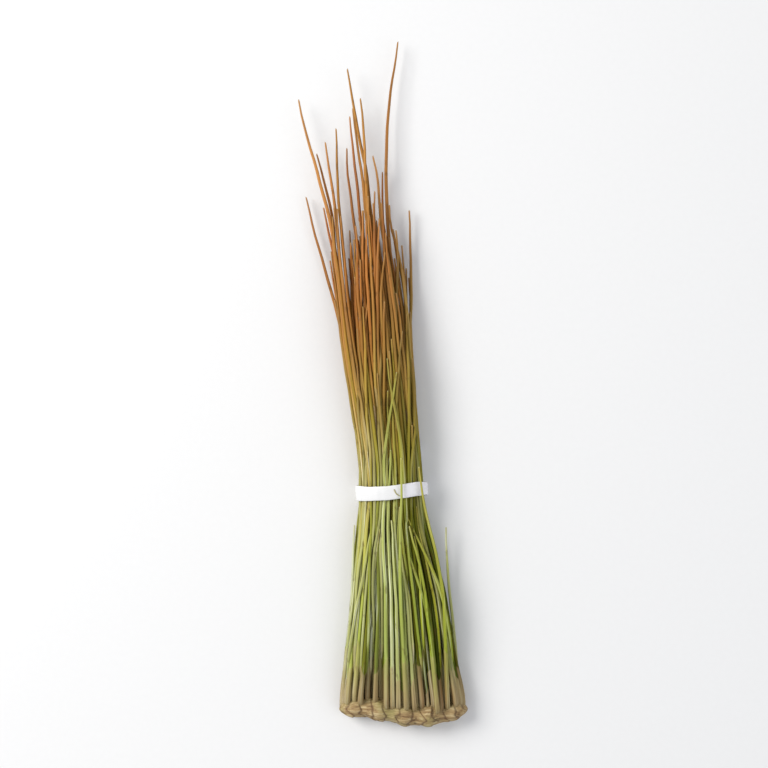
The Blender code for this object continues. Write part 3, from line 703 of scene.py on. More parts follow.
def held_in_tie(spots, heights):
    """Spots near the tie that lie outside its opening are drawn in to its edge, and none lies in the
    floor."""
    room = INNER_RADIUS + TIE_ROOM
    middle = np.array([0.0, TIE_CENTRE_Z])
    half = np.array([TIE_INNER_HALF_WIDTH - room, TIE_INNER_HALF_HEIGHT - room])
    reach = np.linalg.norm((spots - middle) / half, axis=-1, keepdims=True)
    inside = middle + (spots - middle) / np.maximum(reach, 1.0)
    near = smooth_step(*TIE_REACH, np.abs(heights))
    spots = spots + near[:, None] * (inside - spots)
    spots[..., 1] = np.maximum(spots[..., 1], TIE_THICKNESS * near + room)
    return spots


def kept_clear(thin, others, radii, heights):
    """Moves the thin blades' spots (lines, heights, 2) off the others and off each other, a little each
    round, with a weak pull back to their first places, and smooths each line between its neighbouring
    heights."""
    radii = np.concatenate([np.full(len(thin), INNER_RADIUS), radii])
    room = INNER_RADIUS + INNER_ROOM + radii[None, :, None]
    itself = np.arange(len(thin))
    home = thin.copy()
    for _ in range(CLEARING_ROUNDS):
        away = thin[:, None] - np.concatenate([thin, others])[None]
        distance = np.linalg.norm(away, axis=-1)
        distance[itself, itself] = np.nan
        push = np.nan_to_num(np.maximum(room - distance, 0.0) / np.maximum(distance, LEAST_DISTANCE))
        pushed = PUSH_SHARE * (np.nan_to_num(away) * push[..., None]).sum(axis=1)
        thin = thin + pushed + HOME_SHARE * (home - thin)
        thin[:, 1:-1] += SMOOTH_SHARE * np.nan_to_num(thin[:, :-2] + thin[:, 2:] - 2.0 * thin[:, 1:-1])
        thin = held_in_tie(thin, heights)
    return thin


def planned_inner(lines, chance):
    """The neighbours that each thin inner blade runs between, how far it stands out from them, and its tip:
    deep ones in the widest threes, and others in the grooves along the outside."""
    planned = []
    for height, most, tips in DEEP_SETS:
        for three in widest_threes(lines, height, most):
            planned.append((three, np.zeros(2), chance.uniform(*tips)))
    taken = set()
    for height, tips in GROOVE_SETS:
        for pair, outwards in outer_pairs(lines, height):
            if pair not in taken:
                planned.append((list(pair), outwards * GROOVE_RISE, chance.uniform(*tips)))
                taken.add(pair)
    return planned


def parting(neighbours):
    """The height above the tie from which two neighbours are too far apart for a blade between them."""
    if len(neighbours) > 2:
        return PARTING_HEIGHTS[1]
    heights = np.arange(*PARTING_HEIGHTS, 1.0)
    first, second = [spots_at(line, heights) for line in neighbours]
    apart = np.linalg.norm(first - second, axis=1) > WIDEST_PAIR
    return heights[apart][0] if apart.any() else PARTING_HEIGHTS[1]


def inner_lines(lines, short_lines):
    """Lines of thin blades that each run in the middle of neighbouring blades, up to a tip of their own,
    and are then moved clear of all others."""
    chance = np.random.default_rng(INNER_PLAN_SEED)
    planned = planned_inner(lines, chance)
    heights = np.arange(*THIN_HEIGHTS, INNER_STEP)
    inner = np.stack([np.mean([spots_at(lines[number], heights) for number in numbers], axis=0) + rise
                      for numbers, rise, _ in planned])
    inner = inner + chance.uniform(-INNER_STRAY, INNER_STRAY, (len(inner), 1, 2))
    others = np.stack([spots_at(line, heights) for line in lines + short_lines])
    inner = kept_clear(inner, others, np.full(len(others), SOLID_RADIUS), heights)
    result = []
    for (numbers, _, tip), spots in zip(planned, inner):
        neighbours = [lines[number] for number in numbers]
        tip = min(min(line[-1, 1] for line in neighbours) - TIP_BELOW_OTHERS, tip, parting(neighbours))
        if tip < LOWEST_INNER_TIP:
            continue
        foot = np.mean([line[0] for line in neighbours], axis=0)
        used = (heights > foot[1] + END_ROOM) & (heights < tip - END_ROOM) & np.isfinite(spots[:, 0])
        middle = np.stack([spots[used, 0], heights[used], spots[used, 1]], axis=-1)
        step = middle[-1] - middle[-2]
        last = middle[-1] + step * (tip - middle[-1, 1]) / step[1]
        result.append(np.concatenate([foot[None], middle, last[None]]))
    return result


def stray_line(route, lines):
    """A blade that comes up out of the bunch and lies across it: at each height it rests on the highest
    blade under it, smoothed along its way."""
    route = np.array(route)[::-1]
    heights = np.arange(route[0, 1], route[-1, 1] + 0.01, STRAY_ROUTE_STEP)
    x = eased(route[:, 1], route[:, :1], heights)[:, 0]
    spots = np.stack([spots_at(line, heights) for line in lines])
    across = np.abs(spots[..., 0] - x)
    reach = BLADE_RADIUS + INNER_RADIUS
    rest = np.where(across < reach, spots[..., 1] + np.sqrt(np.maximum(reach**2 - across**2, 0.0)), 0.0)
    rest = np.maximum(np.nan_to_num(rest).max(axis=0), LOWEST_REST)
    for _ in range(STRAY_SMOOTHING):
        rest[1:-1] = np.maximum(rest[1:-1], 0.5 * (rest[:-2] + rest[2:]))
    sunk = STRAY_DEPTH * smooth_step(STRAY_RISE_OVER, 0.0, heights - heights[0])
    z = np.maximum(rest - sunk, LOWEST_STRAY)
    spots = held_in_tie(np.stack([x, z], axis=-1)[None], heights)[0]
    return np.stack([spots[:, 0], heights, spots[:, 1]], axis=-1)


def clear_strays(strays, solid_lines, inner):
    """The stray lines moved off the solid blades, off the inner ones and off each other."""
    heights = np.arange(*THIN_HEIGHTS, STRAY_STEP)
    home = np.stack([spots_at(line, heights) for line in strays])
    others = np.stack([spots_at(line, heights) for line in solid_lines + inner])
    radii = np.repeat([SOLID_RADIUS, INNER_RADIUS], [len(solid_lines), len(inner)])
    chance = np.random.default_rng(STRAY_SHIFT_SEED)
    start = home + chance.uniform(-STRAY_SHIFT, STRAY_SHIFT, (len(home), 1, 2))
    shifts = kept_clear(start, others, radii, heights) - home
    moved = []
    for line, shift in zip(strays, shifts):
        known = np.isfinite(shift[:, 0])
        aside, up = [np.interp(line[:, 1], heights[known], shift[known, axis]) for axis in (0, 1)]
        moved.append(line + np.stack([aside, 0.0 * aside, up], axis=-1))
    return moved


# The blades

def make_solid_blades(solids, looks):
    """A finished blade for each blade of the frame."""
    for number, (name, (middles, radii)) in enumerate(solids.items()):
        drawn_tone = blade_tone(middles, SOLID_TONE_SEED + number)
        tone = {**GREEN_TONES, **VALLEY_SHADE_TONES}.get(name, drawn_tone)
        tip = FINE_TIP if name.startswith("tall") else BLUNT_TIP
        surface = blade_surface(middles, radii, SOLID_SEED + number, tone, tip, SIDES, ROW_STEP)
        blade = put_mesh("grass_" + name, *surface)
        finish(blade, "green_blade" if name in GREEN_TONES else "ochre_blade", looks)
        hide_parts(name)


def make_thin_blades(label, blades, slot, looks):
    """Several thin blades in one piece, each given as (line, seed, tone)."""
    parts = [blade_surface(line, thin_radii(line), seed, tone) for line, seed, tone in blades]
    finish(put_mesh(label, *joined(parts)), slot, looks)


def make_inner_blades(inner, looks):
    """The thin inner blades, every sixth one in the same piece."""
    blades = [(line, INNER_SEED + number, blade_tone(line, INNER_TONE_SEED + number))
              for number, line in enumerate(inner)]
    for piece in range(INNER_PIECES):
        label = f"grass_inner_blades_{piece + 1}"
        make_thin_blades(label, blades[piece::INNER_PIECES], "ochre_blade", looks)


def make_stray_blades(label, strays, table, slot, looks):
    """The thin blades of one table that lie across the others, in one piece."""
    blades = [(line, STRAY_SEED + number, table[number][1]) for number, line in enumerate(strays)]
    make_thin_blades(label, blades, slot, looks)


def make_blades(looks):
    """All blades: the frame's own, the thin ones between them and the strays across them. Gives the foot
    point of each of the frame's blades."""
    names = sorted(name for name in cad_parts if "_blade_" in name)
    solids = {name: solid_blade(name) for name in names}
    make_solid_blades(solids, looks)
    lines = [solids[name][0] for name in names if name not in GREEN_TONES]
    short_lines = [solids[name][0] for name in names if name in GREEN_TONES]
    inner = inner_lines(lines, short_lines)
    make_inner_blades(inner, looks)
    strays = [stray_line(route, lines) for route, _ in OCHRE_STRAYS + GREEN_STRAYS]
    strays = clear_strays(strays, lines + short_lines, inner)
    count = len(OCHRE_STRAYS)
    make_stray_blades("grass_ochre_strays", strays[:count], OCHRE_STRAYS, "ochre_blade", looks)
    make_stray_blades("grass_green_strays", strays[count:], GREEN_STRAYS, "green_blade", looks)
    return np.array([middles[0] for middles, _ in solids.values()])


# Foot

def crown_line(share):
    """The middle of the foot's bar: straight from left to right with a shallow bow."""
    x = CROWN_LEFT + (CROWN_RIGHT - CROWN_LEFT) * share
    y = CROWN_Y + CROWN_BOW * np.sin(TURN * share + 0.6)
    return x, y


def crown_radius(share):
    """Knots in a row on slow swells, closing in at both ends."""
    knots = np.cos(TURN * CROWN_KNOTS * share + math.pi) + 0.5 * np.cos(TURN * CROWN_SWELLS * share + 0.8)
    closing = np.sqrt(np.clip(1.0 - (2.0 * share - 1.0) ** 4, 0.0, 1.0))
    return CROWN_RADIUS * (1.0 + KNOT_RISE * knots) * closing


def crown_relief(share, angle):
    """How far the foot's surface rises, and how near each point is to a seam: scales with wavy edges that
    rise slowly along the bar and drop at their edge, with uneven grain and fine lengthwise ribs."""
    high, low = np.cos(angle), np.sin(angle)
    wavy = SCALE_WAVINESS * noise(CROWN_SEEDS[0], 1.5 * high, 1.5 * low, 9.0 * share)
    place = share * SCALES + wavy + SCALE_SLANT * np.sin(2.0 * angle)
    scale = place - np.floor(place)
    edge = smooth_step(*SCALE_SLOPE, scale) - smooth_step(*SCALE_DROP, scale)
    before, behind = SEAM_WIDTHS
    seam = np.exp(-((1.0 - scale) / before) ** 2) + np.exp(-(scale / behind) ** 2)
    uneven = UNEVEN_RISE * noise(CROWN_SEEDS[1], 7.0 * high, 7.0 * low, 9.0 * share)
    rise = SCALE_RISE * edge + uneven + RIB_RISE * np.sin(RIBS * angle + 5.0 * share)
    return rise, np.minimum(seam, 1.0)


def make_crown(feet, looks):
    """The foot as a tube along x: the radius and the relief of the share and the angle, with a collar round
    the foot of each blade and a flat underside on the floor."""
    turn = np.linspace(0.02, math.pi - 0.02, CROWN_ROWS)
    share = 0.5 - 0.5 * np.cos(turn)[:, None]
    angle = np.arange(CROWN_SIDES)[None] * TURN / CROWN_SIDES
    x, y = crown_line(share)
    radius = crown_radius(share)
    rise, seam = crown_relief(share, angle)
    radius = radius + rise * np.minimum(radius / 2.0, 1.0) - CROWN_INSET
    points = np.stack([x + 0.0 * radius, y + CROWN_DEPTH_SHARE * radius * np.cos(angle),
                       CROWN_Z + radius * np.sin(angle)], axis=-1)
    near = np.linalg.norm(points[:, :, None] - feet[None, None], axis=-1)
    collar = np.exp(-((near - COLLAR_RADIUS) / COLLAR_SPREAD) ** 2).max(axis=-1)
    points[..., 1] += COLLAR_RISE * collar
    points[..., 2] = np.maximum(points[..., 2], 0.0)
    outward = np.array([CROWN_END, 0.0, 0.0])
    first, last = points[0].mean(axis=0) - outward, points[-1].mean(axis=0) + outward
    values = {"scale_edge": seam, "collar": collar}
    crown = put_mesh("grass_crown", *tube(points, x[:, 0] - CROWN_LEFT, first, last, values))
    finish(crown, "crown", looks)
    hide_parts("root_crown")


# Tie

def strip_profile(width, thickness, count):
    """A flat strip's section as (out, across): a rounded bar with a low ridge over the wire in its middle."""
    angle = np.arange(count) * TURN / count
    across = 0.5 * width * np.sign(np.cos(angle)) * np.abs(np.cos(angle)) ** EDGE_ROUNDNESS
    out = 0.5 * thickness * np.sign(np.sin(angle)) * np.abs(np.sin(angle)) ** FACE_FLATNESS
    wire = np.exp(-(across / (WIRE_SHARE * width)) ** 2)
    out = out * (1.0 - WIRE_SWELL + WIRE_SWELL * wire)
    return out, across


def lap_at(x):
    """How far the strip steps down at its lap, a little right of the middle."""
    return TIE_LAP * smooth_step(*TIE_LAP_PLACE, x)


def tie_path(angle):
    """The middle of the strip as (x, z): an ellipse that is flat on the floor."""
    x = (TIE_INNER_HALF_WIDTH + 0.5 * TIE_THICKNESS) * np.cos(angle)
    z = TIE_CENTRE_Z + (TIE_INNER_HALF_HEIGHT + 0.5 * TIE_THICKNESS) * np.sin(angle)
    flat = smooth_step(*TIE_FLAT_PLACE, z)
    z = np.maximum(z, 0.0) * (1.0 - flat) + TIE_LOWEST * flat
    return np.stack([x, np.maximum(z, TIE_LOWEST)], axis=-1)


def tie_band():
    """The strip round the bunch: its section carried along its path, widest at the left, slightly bowed,
    with a few shallow creases, and turned by its slant."""
    angle = np.arange(TIE_STEPS) * TURN / TIE_STEPS
    path = tie_path(angle)
    x, z = path[:, 0], path[:, 1]
    forward = unit(np.roll(path, -1, axis=0) - np.roll(path, 1, axis=0))
    outward = np.stack([forward[:, 1], -forward[:, 0]], axis=-1)
    on_top = smooth_step(*TIE_TOP_PLACE, z)
    width = TIE_WIDTH - TOP_NARROWING * smooth_step(*TOP_NARROWING_PLACE, x) * on_top
    width = width - RIGHT_NARROWING * smooth_step(*RIGHT_NARROWING_PLACE, x)
    out, across = strip_profile(1.0, TIE_THICKNESS, TIE_SIDES)
    crease = TIE_CREASE * noise(TIE_SEEDS[0], angle * CREASES_ROUND)
    crease = crease * smooth_step(*TIE_CREASED_PLACE, z)
    over = out[None, :] + (crease - lap_at(x) * on_top)[:, None]
    bow = TIE_BOW * np.cos(TURN * (x - TIE_BOW_PLACE) / TIE_BOW_LENGTH) * on_top
    bow = bow + TIE_CREASE * noise(TIE_SEEDS[1], angle * BENDS_ROUND)
    wide = across[None, :] * width[:, None] + bow[:, None]
    px = path[:, None, 0] + outward[:, None, 0] * over
    pz = np.maximum(path[:, None, 1] + outward[:, None, 1] * over, 0.0)
    cos, sin = math.cos(TIE_SLANT), math.sin(TIE_SLANT)
    points = np.stack([px * cos + wide * sin, px * sin - wide * cos, pz], axis=-1)
    quads, uvs = grid_faces(TIE_STEPS, TIE_SIDES, np.arange(TIE_STEPS + 1) / TIE_STEPS, closed=True)
    values = {"wire": np.broadcast_to(np.exp(-(across / WIRE_SHARE) ** 2), over.shape).ravel()}
    return points.reshape(-1, 3), quads, np.empty((0, 3), int), uvs, values


def tie_end(phase, spread):
    """One of the two twisted ends: the strip's section, turning as it winds round the other end, and
    leaning away from it over the last part."""
    share = np.linspace(0.0, 1.0, TWIST_STEPS)
    start, end = np.array(TWIST_START), np.array(TWIST_END)
    axis = start + (end - start) * share[:, None]
    turn = TWIST_TURN * np.minimum(share / TWIST_SHARE, 1.0) + phase
    cos, sin, level = np.cos(turn), np.sin(turn), np.zeros(TWIST_STEPS)
    apart = TWIST_APART + spread * smooth_step(*TWIST_SPREAD_PLACE, share)
    middle = axis + np.stack([apart * cos, level, TWIST_DEPTH_SHARE * apart * sin], axis=-1)
    ahead = np.stack([-sin, level, cos], axis=-1)
    away = np.stack([cos, level, sin], axis=-1)
    out, across = strip_profile(END_WIDTH, END_THICKNESS, END_SIDES)
    rings = middle[:, None] + ahead[:, None] * across[None, :, None] + away[:, None] * out[None, :, None]
    rings[..., 2] = np.maximum(rings[..., 2], END_LOWEST)
    values = {"wire": np.exp(-(across / END_WIRE) ** 2)}
    return tube(rings, share * (end[1] - start[1]), middle[0], middle[-1], values)


def make_tie(looks):
    """The tie: the strip and its two ends, half a turn apart."""
    ends = [tie_end(TWIST_PHASE + half * math.pi, spread) for half, spread in enumerate(TWIST_SPREADS)]
    tie = put_mesh("grass_tie", *joined([tie_band(), *ends]))
    finish(tie, "tie", looks)
    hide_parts("tie")


def make_scrap(looks):
    """A thin scrap of blade that lies on the tie: a tube along its route on the tie's upper side, closing in
    at both ends."""
    share = np.linspace(0.0, 1.0, SCRAP_ROWS)
    route = eased(np.linspace(0.0, 1.0, len(SCRAP)), np.array(SCRAP), share)
    half_width, half_height = TIE_INNER_HALF_WIDTH + TIE_THICKNESS, TIE_INNER_HALF_HEIGHT + TIE_THICKNESS
    top = TIE_CENTRE_Z + half_height * np.sqrt(1.0 - (route[:, 0] / half_width) ** 2)
    top = top - lap_at(route[:, 0]) + 0.6 * SCRAP_RADIUS
    middles = np.stack([route[:, 0], route[:, 1], top], axis=-1)
    beside = unit(np.cross(unit(np.gradient(middles, axis=0)), UP))
    angle = np.arange(SCRAP_SIDES)[:, None] * TURN / SCRAP_SIDES
    reach = SCRAP_RADIUS * np.sqrt(1.02 - (2.0 * share - 1.0) ** 8)[:, None, None]
    rings = middles[:, None] + reach * (UP * np.cos(angle) + beside[:, None] * np.sin(angle))
    surface = tube(rings, share * SCRAP_LENGTH, middles[0], middles[-1], SCRAP_VALUES)
    finish(put_mesh("grass_scrap", *surface), "green_blade", looks)


# Shader nodes

def set_inputs(tree, node, inputs):
    """Links a node's inputs from sockets, or sets them to values."""
    for label, value in inputs.items():
        if isinstance(value, bpy.types.NodeSocket):
            tree.links.new(value, node.inputs[label])
        else:
            node.inputs[label].default_value = value


def add(tree, kind, inputs=None, **settings):
    """A shader node with its settings and its inputs."""
    node = tree.nodes.new(kind)
    for label, value in settings.items():
        setattr(node, label, value)
    set_inputs(tree, node, inputs or {})
    return node


def maths(tree, operation, first, second=0.0, third=0.0, clamp=False):
    """The result of one sum with values."""
    inputs = {0: first, 1: second, 2: third}
    return add(tree, "ShaderNodeMath", inputs, operation=operation, use_clamp=clamp).outputs[0]


def product(tree, first, second):
    """Two values multiplied."""
    return maths(tree, "MULTIPLY", first, second)


def times(tree, first, second):
    """Two colours or places multiplied part by part."""
    return add(tree, "ShaderNodeVectorMath", {0: first, 1: second}, operation="MULTIPLY").outputs[0]


def ranged(tree, value, low=0.0, high=1.0, start=0.0, end=1.0, kind="LINEAR"):
    """start where the value is low, end where it is high, and in step between them."""
    inputs = {"Value": value, "From Min": low, "From Max": high, "To Min": start, "To Max": end}
    return add(tree, "ShaderNodeMapRange", inputs, interpolation_type=kind).outputs[0]


def mixed(tree, share, first, second):
    """A colour between two colours, each a socket or three parts."""
    colours = [colour if isinstance(colour, bpy.types.NodeSocket) else (*colour, 1.0)
               for colour in (first, second)]
    inputs = {0: share, 6: colours[0], 7: colours[1]}
    return add(tree, "ShaderNodeMix", inputs, data_type="RGBA").outputs[2]


def ramp(tree, value, stops):
    """A colour ramp read at value, with its stops as (place, colour)."""
    node = add(tree, "ShaderNodeValToRGB", {0: value})
    elements = node.color_ramp.elements
    while len(elements) < len(stops):
        elements.new(0.5)
    for element, (place, colour) in zip(elements, stops):
        element.position = place
        element.color = (*colour, 1.0)
    return node.outputs[0]


def grain(tree, place, detail, scale=1.0, roughness=0.5):
    """Noise read at a place."""
    inputs = {"Vector": place, "Scale": scale, "Detail": detail, "Roughness": roughness}
    return add(tree, "ShaderNodeTexNoise", inputs).outputs[0]


def moving_grain(tree, place, moved, detail):
    """Noise read at a place, which changes as moved does."""
    inputs = {"Vector": place, "W": moved, "Scale": 1.0, "Detail": detail}
    return add(tree, "ShaderNodeTexNoise", inputs, noise_dimensions="4D").outputs[0]


def drawn(tree, tone, rate):
    """A number from 0 to 1 that differs from blade to blade: the part after the point of rate times tone."""
    return maths(tree, "FRACT", product(tree, tone, rate))


def bump(tree, height, strength, distance):
    """A bumpy surface's normal."""
    inputs = {"Height": height, "Strength": strength, "Distance": distance}
    return add(tree, "ShaderNodeBump", inputs).outputs[0]


def named_value(tree, label):
    """A value that the mesh has for each point."""
    return add(tree, "ShaderNodeAttribute", attribute_name=label).outputs["Fac"]


def place_on_piece(tree):
    """The place on the piece in metres."""
    return add(tree, "ShaderNodeTexCoord").outputs["Object"]


def part_of(tree, vector, axis):
    """One part of a vector."""
    return add(tree, "ShaderNodeSeparateXYZ", {0: vector}).outputs[axis]


def new_group(label, inputs, outputs):
    """An empty node group with its named inputs and outputs, each as (name, kind of socket)."""
    tree = bpy.data.node_groups.new(label, "ShaderNodeTree")
    for name, kind in inputs:
        tree.interface.new_socket(name, in_out="INPUT", socket_type="NodeSocket" + kind)
    for name, kind in outputs:
        tree.interface.new_socket(name, in_out="OUTPUT", socket_type="NodeSocket" + kind)
    return tree, tree.nodes.new("NodeGroupInput").outputs, tree.nodes.new("NodeGroupOutput")


def placed(tree, group, inputs):
    """The outputs of a node group that is put into the tree."""
    return add(tree, "ShaderNodeGroup", inputs, node_tree=group).outputs


def new_material(label):
    """An empty material with its shader."""
    material = bpy.data.materials.new(label)
    material.use_nodes = True
    tree = material.node_tree
    tree.nodes.clear()
    shader = tree.nodes.new("ShaderNodeBsdfPrincipled")
    surface = tree.nodes.new("ShaderNodeOutputMaterial")
    tree.links.new(shader.outputs[0], surface.inputs["Surface"])
    return material, tree, shader


# Effects that more than one material uses

def fibre_group():
    """Lengthwise fibres: noise on a ring round the blade and drawn out along it, with broad patches, as a
    mask of light and dark streaks and as a height."""
    tree, given, result = new_group(
        "lengthwise_fibres", [("Position", "Vector"), ("Surface", "Vector"), ("Tone", "Float")],
        [("Streaks", "Float"), ("Height", "Float")])
    turn = product(tree, part_of(tree, given["Surface"], "X"), TURN)
    along = product(tree, part_of(tree, given["Surface"], "Y"), FIBRES_ALONG)
    ring = add(tree, "ShaderNodeCombineXYZ", {
        "X": product(tree, maths(tree, "COSINE", turn), FIBRES_ROUND),
        "Y": product(tree, maths(tree, "SINE", turn), FIBRES_ROUND), "Z": along}).outputs[0]
    moved = product(tree, given["Tone"], FIBRES_MOVE)
    fine = moving_grain(tree, ring, moved, 3.0)
    broad = moving_grain(tree, times(tree, given["Position"], PATCHES), moved, 2.0)
    both = maths(tree, "ADD", product(tree, fine, FINE_SHARE), product(tree, broad, 1.0 - FINE_SHARE))
    set_inputs(tree, result, {"Streaks": ranged(tree, both, *STREAK_MASK), "Height": fine})
    return tree


def speck_group():
    """Small brown specks: the high peaks of a fine noise, as a mask."""
    tree, given, result = new_group(
        "specks", [("Position", "Vector"), ("Amount", "Float")], [("Mask", "Float")])
    dots = grain(tree, times(tree, given["Position"], SPECKS), 2.0, roughness=0.6)
    peaks = ranged(tree, dots, *SPECK_MASK)
    set_inputs(tree, result, {"Mask": product(tree, peaks, given["Amount"])})
    return tree


# The blades' finish

def blade_colour(tree, height, tone, streaks, kind):
    """A blade's colour: by height, lighter or darker and of another tint from blade to blade, in
    streaks. On the ochre blades the darkening with the tone is painted shade towards the right."""
    shift = product(tree, maths(tree, "SUBTRACT", 0.5, tone), TONE_SHIFT)
    share = maths(tree, "ADD", ranged(tree, height, *FOOT_TO_TIP), shift, clamp=True)
    colour = times(tree, ramp(tree, share, kind["stops"]), ramp(tree, drawn(tree, tone, TINT_DRAW), TINTS))
    light = ranged(tree, drawn(tree, tone, LIGHTNESS_DRAW), 0.0, 1.0, *LIGHTNESS)
    # On the ochre blades, darker with the tone is painted shade towards the right, away from the key light
    light = product(tree, light, ranged(tree, tone, 0.0, 1.0, *kind["light"]))
    return times(tree, colour, product(tree, light, ranged(tree, streaks, 0.0, 1.0, *STREAKS)))


def paled_and_highlit(tree, colour, chosen, low):
    """The colour made paler on the low part, the more so the higher chosen is: partly the blade's own pale
    colour, partly painted highlight.
    """
    pale = ranged(tree, chosen, *PALE_AND_HIGHLIGHT_MASK)
    return mixed(tree, product(tree, pale, low), colour, PALE_GREEN_AND_HIGHLIGHT)


def ochre_low_part(tree, colour, height, tone, low):
    """The ochre blades' low part: darker and deeper green with the tone, as painted shade towards the right,
    lighter at the left and darker at the right below the tie as painted side light, and some blades pale,
    partly as painted highlight."""
    # Painted shade: the low part darker towards the right with the tone, and deeper green
    colour = times(tree, colour, mixed(tree, product(tree, tone, low), WHITE, LOW_SHADE))
    # Painted side light below the tie: lighter at the left, darker at the right
    below = ranged(tree, height, *BELOW_TIE, kind="SMOOTHSTEP")
    lit_from_left = product(tree, maths(tree, "SUBTRACT", 0.5, tone), below)
    side = add(tree, "ShaderNodeVectorMath", {0: lit_from_left, 1: PAINTED_SIDE_LIGHT, 2: WHITE}, operation="MULTIPLY_ADD")
    colour = times(tree, colour, side.outputs[0])
    # Fewer pale blades towards the right: painted shade; the pale blades are partly painted highlight
    by_tone = maths(tree, "MULTIPLY_ADD", tone, *PALENESS_AND_HIGHLIGHT_BY_TONE)
    return paled_and_highlit(tree, colour, maths(tree, "ADD", drawn(tree, tone, PALENESS_DRAW), by_tone), low)


def green_low_part(tree, colour, height, tone, low):
    """The green blades' low part: paler with the tone, partly as painted highlight, and silvery where the
    tone is highest.
    """
    colour = paled_and_highlit(tree, colour, tone, low)
    silvery = ranged(tree, tone, *SILVERY_MASK)
    return mixed(tree, product(tree, silvery, low), colour, SILVERY)


def weathered(tree, colour, streaks, specks, kind):
    """The colour with brown specks, a dry tip, a cut end and a brown sheath with straw veins."""
    from_tip = named_value(tree, "from_tip")
    colour = mixed(tree, specks, colour, SPECK)
    dry = ranged(tree, from_tip, 0.0, DRY_LENGTH, kind["dryness"], 0.0)
    colour = mixed(tree, dry, colour, DRY_TIP)
    colour = mixed(tree, ranged(tree, from_tip, *CUT_MASK), colour, kind["cut"])
    veins = mixed(tree, streaks, SHEATH_BROWN, SHEATH_STRAW)
    return mixed(tree, product(tree, named_value(tree, "sheath"), SHEATH_SHARE), colour, veins)


def blade_look(label, kind, low_part, groups):
    """A blade's finish: its colour by height and tone with painted highlight lines on the low part,
    weathering, fine ribs, and a shine that goes with the tone on the low part."""
    material, tree, shader = new_material(label)
    position = place_on_piece(tree)
    height = part_of(tree, position, "Y")
    tone = named_value(tree, "tone")
    surface = add(tree, "ShaderNodeUVMap", uv_map="surface").outputs[0]
    fibres = placed(tree, groups["fibres"], {"Position": position, "Surface": surface, "Tone": tone})
    specks = placed(tree, groups["specks"], {"Position": position, "Amount": 0.45})["Mask"]
    streaks = fibres["Streaks"]
    low = ranged(tree, height, *LOW_PART, kind="SMOOTHSTEP")
    colour = blade_colour(tree, height, tone, streaks, kind)
    colour = low_part(tree, colour, height, tone, low)
    # Painted highlight: whitish lines along the blades' low part, going with the tone by the finish's lines
    lines = ranged(tree, streaks, *PAINTED_HIGHLIGHT_LINE_MASK)
    lines = product(tree, lines, maths(tree, "MULTIPLY_ADD", tone, *kind["lines"]))
    colour = mixed(tree, product(tree, lines, low), colour, PAINTED_HIGHLIGHT_LINE)
    ribs = maths(tree, "SINE", product(tree, part_of(tree, surface, "X"), BLADE_RIBS * TURN))
    relief = maths(tree, "ADD", product(tree, ribs, BLADE_RIB_SHARE), fibres["Height"])
    wet = maths(tree, "MULTIPLY_ADD", tone, *kind["wet"], clamp=True)
    dull = product(tree, low, maths(tree, "SUBTRACT", 1.0, wet))
    set_inputs(tree, shader, {
        "Base Color": weathered(tree, colour, streaks, specks, kind),
        "Roughness": ranged(tree, streaks, 0.0, 1.0, *BLADE_ROUGHNESS),
        "Normal": bump(tree, relief, *BLADE_BUMP),
        "Coat Weight": product(tree, product(tree, low, wet), WET_COAT),
        "Coat Roughness": 0.28,
        "Specular IOR Level": maths(tree, "MULTIPLY_ADD", dull, *SPECULAR_BY_DULLNESS)})
    return material


# The other finishes

def crown_look(groups):
    """The foot's finish: straw and brown scales with darker edges, ribs and specks."""
    material, tree, shader = new_material("grass_crown")
    position = place_on_piece(tree)
    ribs = grain(tree, times(tree, position, CROWN_FIBRES), 4.0, roughness=0.6)
    patches = grain(tree, position, 3.0, scale=CROWN_PATCHES)
    colour = ramp(tree, ribs, CROWN_STOPS)
    colour = mixed(tree, ranged(tree, patches, *CROWN_GREEN_MASK), colour, CROWN_GREEN)
    colour = mixed(tree, product(tree, named_value(tree, "scale_edge"), 0.72), colour, SCALE_EDGE)
    colour = mixed(tree, product(tree, named_value(tree, "collar"), 0.5), colour, COLLAR_STRAW)
    specks = placed(tree, groups["specks"], {"Position": position, "Amount": 0.7})["Mask"]
    set_inputs(tree, shader, {
        "Base Color": mixed(tree, specks, colour, CROWN_SPECK),
        "Roughness": ranged(tree, ribs, 0.0, 1.0, *CROWN_ROUGHNESS),
        "Normal": bump(tree, ribs, *CROWN_BUMP)})
    return material


def tie_look():
    """The tie's finish: glossy white, creased and brighter at the right, with faint grey marks along the
    creases there: painted shade in the creases.
    """
    material, tree, shader = new_material("grass_tie")
    position = place_on_piece(tree)
    right = ranged(tree, part_of(tree, position, "X"), *TIE_RIGHT_PART)
    creases = grain(tree, times(tree, position, TIE_CREASES), 3.0)
    # Painted shade: grey marks along the creases on the right part
    marks = product(tree, ranged(tree, creases, *TIE_CREASE_SHADE_MASK), right)
    colour = mixed(tree, marks, mixed(tree, right, TIE_WHITE, TIE_RIGHT_WHITE), TIE_CREASE_SHADE)
    depth = product(tree, creases, ranged(tree, right, 0.0, 1.0, 0.15, 1.0))
    set_inputs(tree, shader, {
        "Base Color": mixed(tree, product(tree, named_value(tree, "wire"), 0.10), colour, TIE_WIRE),
        "Roughness": ranged(tree, creases, 0.0, 1.0, *TIE_ROUGHNESS),
        "Normal": bump(tree, depth, *TIE_BUMP),
        "Coat Weight": 0.4,
        "Coat Roughness": 0.12})
    return material


def floor_look():
    """The floor's finish: matt and nearly white, with a faint grain."""
    material, tree, shader = new_material("pale_floor")
    speckle = grain(tree, place_on_piece(tree), 2.0, scale=FLOOR_SPECKLE)
    set_inputs(tree, shader, {"Base Color": mixed(tree, speckle, *FLOOR_WHITES), "Roughness": 0.85})
    return material


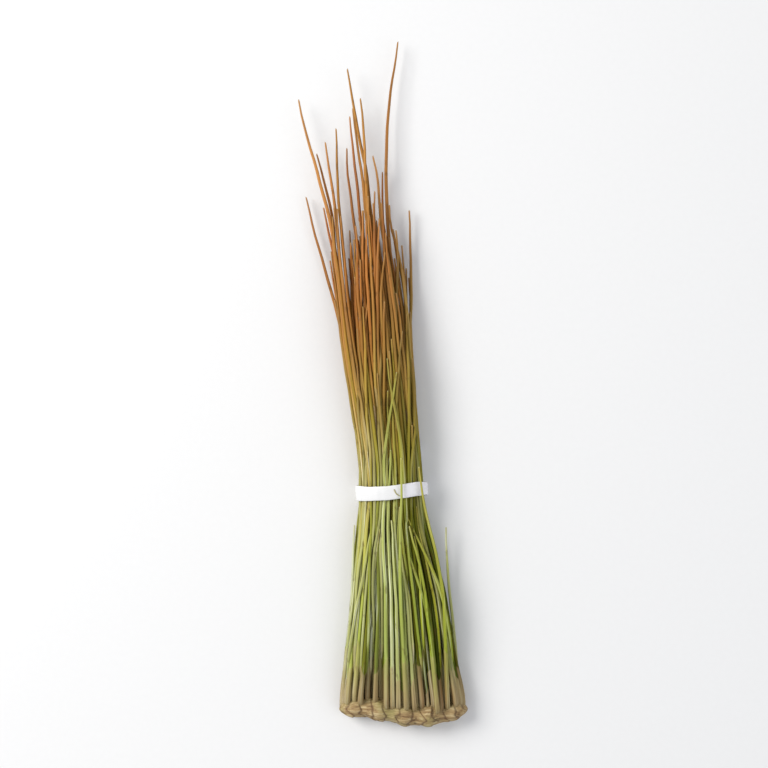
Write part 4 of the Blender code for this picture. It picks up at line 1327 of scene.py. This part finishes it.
def make_looks():
    """The finish of each slot."""
    groups = {"fibres": fibre_group(), "specks": speck_group()}
    return {
        "ochre_blade": blade_look("grass_ochre_blade", OCHRE, ochre_low_part, groups),
        "green_blade": blade_look("grass_green_blade", GREEN, green_low_part, groups),
        "crown": crown_look(groups),
        "tie": tie_look(),
    }


# Floor, light and camera

def make_floor():
    """A flat square floor under the bunch."""
    corners = np.array([(-1.0, -1.0, 0.0), (1.0, -1.0, 0.0), (1.0, 1.0, 0.0), (-1.0, 1.0, 0.0)]) * FLOOR_HALF
    floor = put_mesh("floor", corners, np.array([[0, 1, 2, 3]]), np.empty((0, 3), int))
    floor.data.materials.append(floor_look())


def make_light(name, place, size, power, tint):
    """A square soft light that looks at the middle of the view."""
    data = bpy.data.lights.new(name, "AREA")
    data.size = size
    data.energy = power
    data.color = tint
    light = bpy.data.objects.new(name, data)
    back = np.array(place) - np.array(VIEW_CENTRE) * MM
    tilt = math.acos(back[2] / np.linalg.norm(back))
    light.location = place
    light.rotation_euler = (tilt, 0.0, math.atan2(back[1], back[0]) + 0.5 * math.pi)
    bpy.context.scene.collection.objects.link(light)


def make_lights():
    """The lights and the even light of the room."""
    for light in LIGHTS:
        make_light(*light)
    world = bpy.data.worlds.new("soft_room")
    world.use_nodes = True
    background = world.node_tree.nodes["Background"]
    background.inputs["Color"].default_value = (*ROOM_TINT, 1.0)
    background.inputs["Strength"].default_value = ROOM_STRENGTH
    bpy.context.scene.world = world


def make_camera():
    """Straight above the bunch, as far away as makes the view as high as VIEW_HEIGHT, with +Y upwards."""
    data = bpy.data.cameras.new("camera")
    data.lens = LENS
    data.sensor_width = SENSOR
    data.clip_start = NEAREST_SEEN
    camera = bpy.data.objects.new("camera", data)
    x, y, z = VIEW_CENTRE
    camera.location = (x * MM, y * MM, (VIEW_HEIGHT * LENS / SENSOR + z) * MM)
    bpy.context.scene.collection.objects.link(camera)
    bpy.context.scene.camera = camera


looks = make_looks()
feet = make_blades(looks)
make_crown(feet, looks)
make_tie(looks)
make_scrap(looks)
make_floor()
make_lights()
make_camera()
bpy.context.scene.view_settings.view_transform = "Standard"
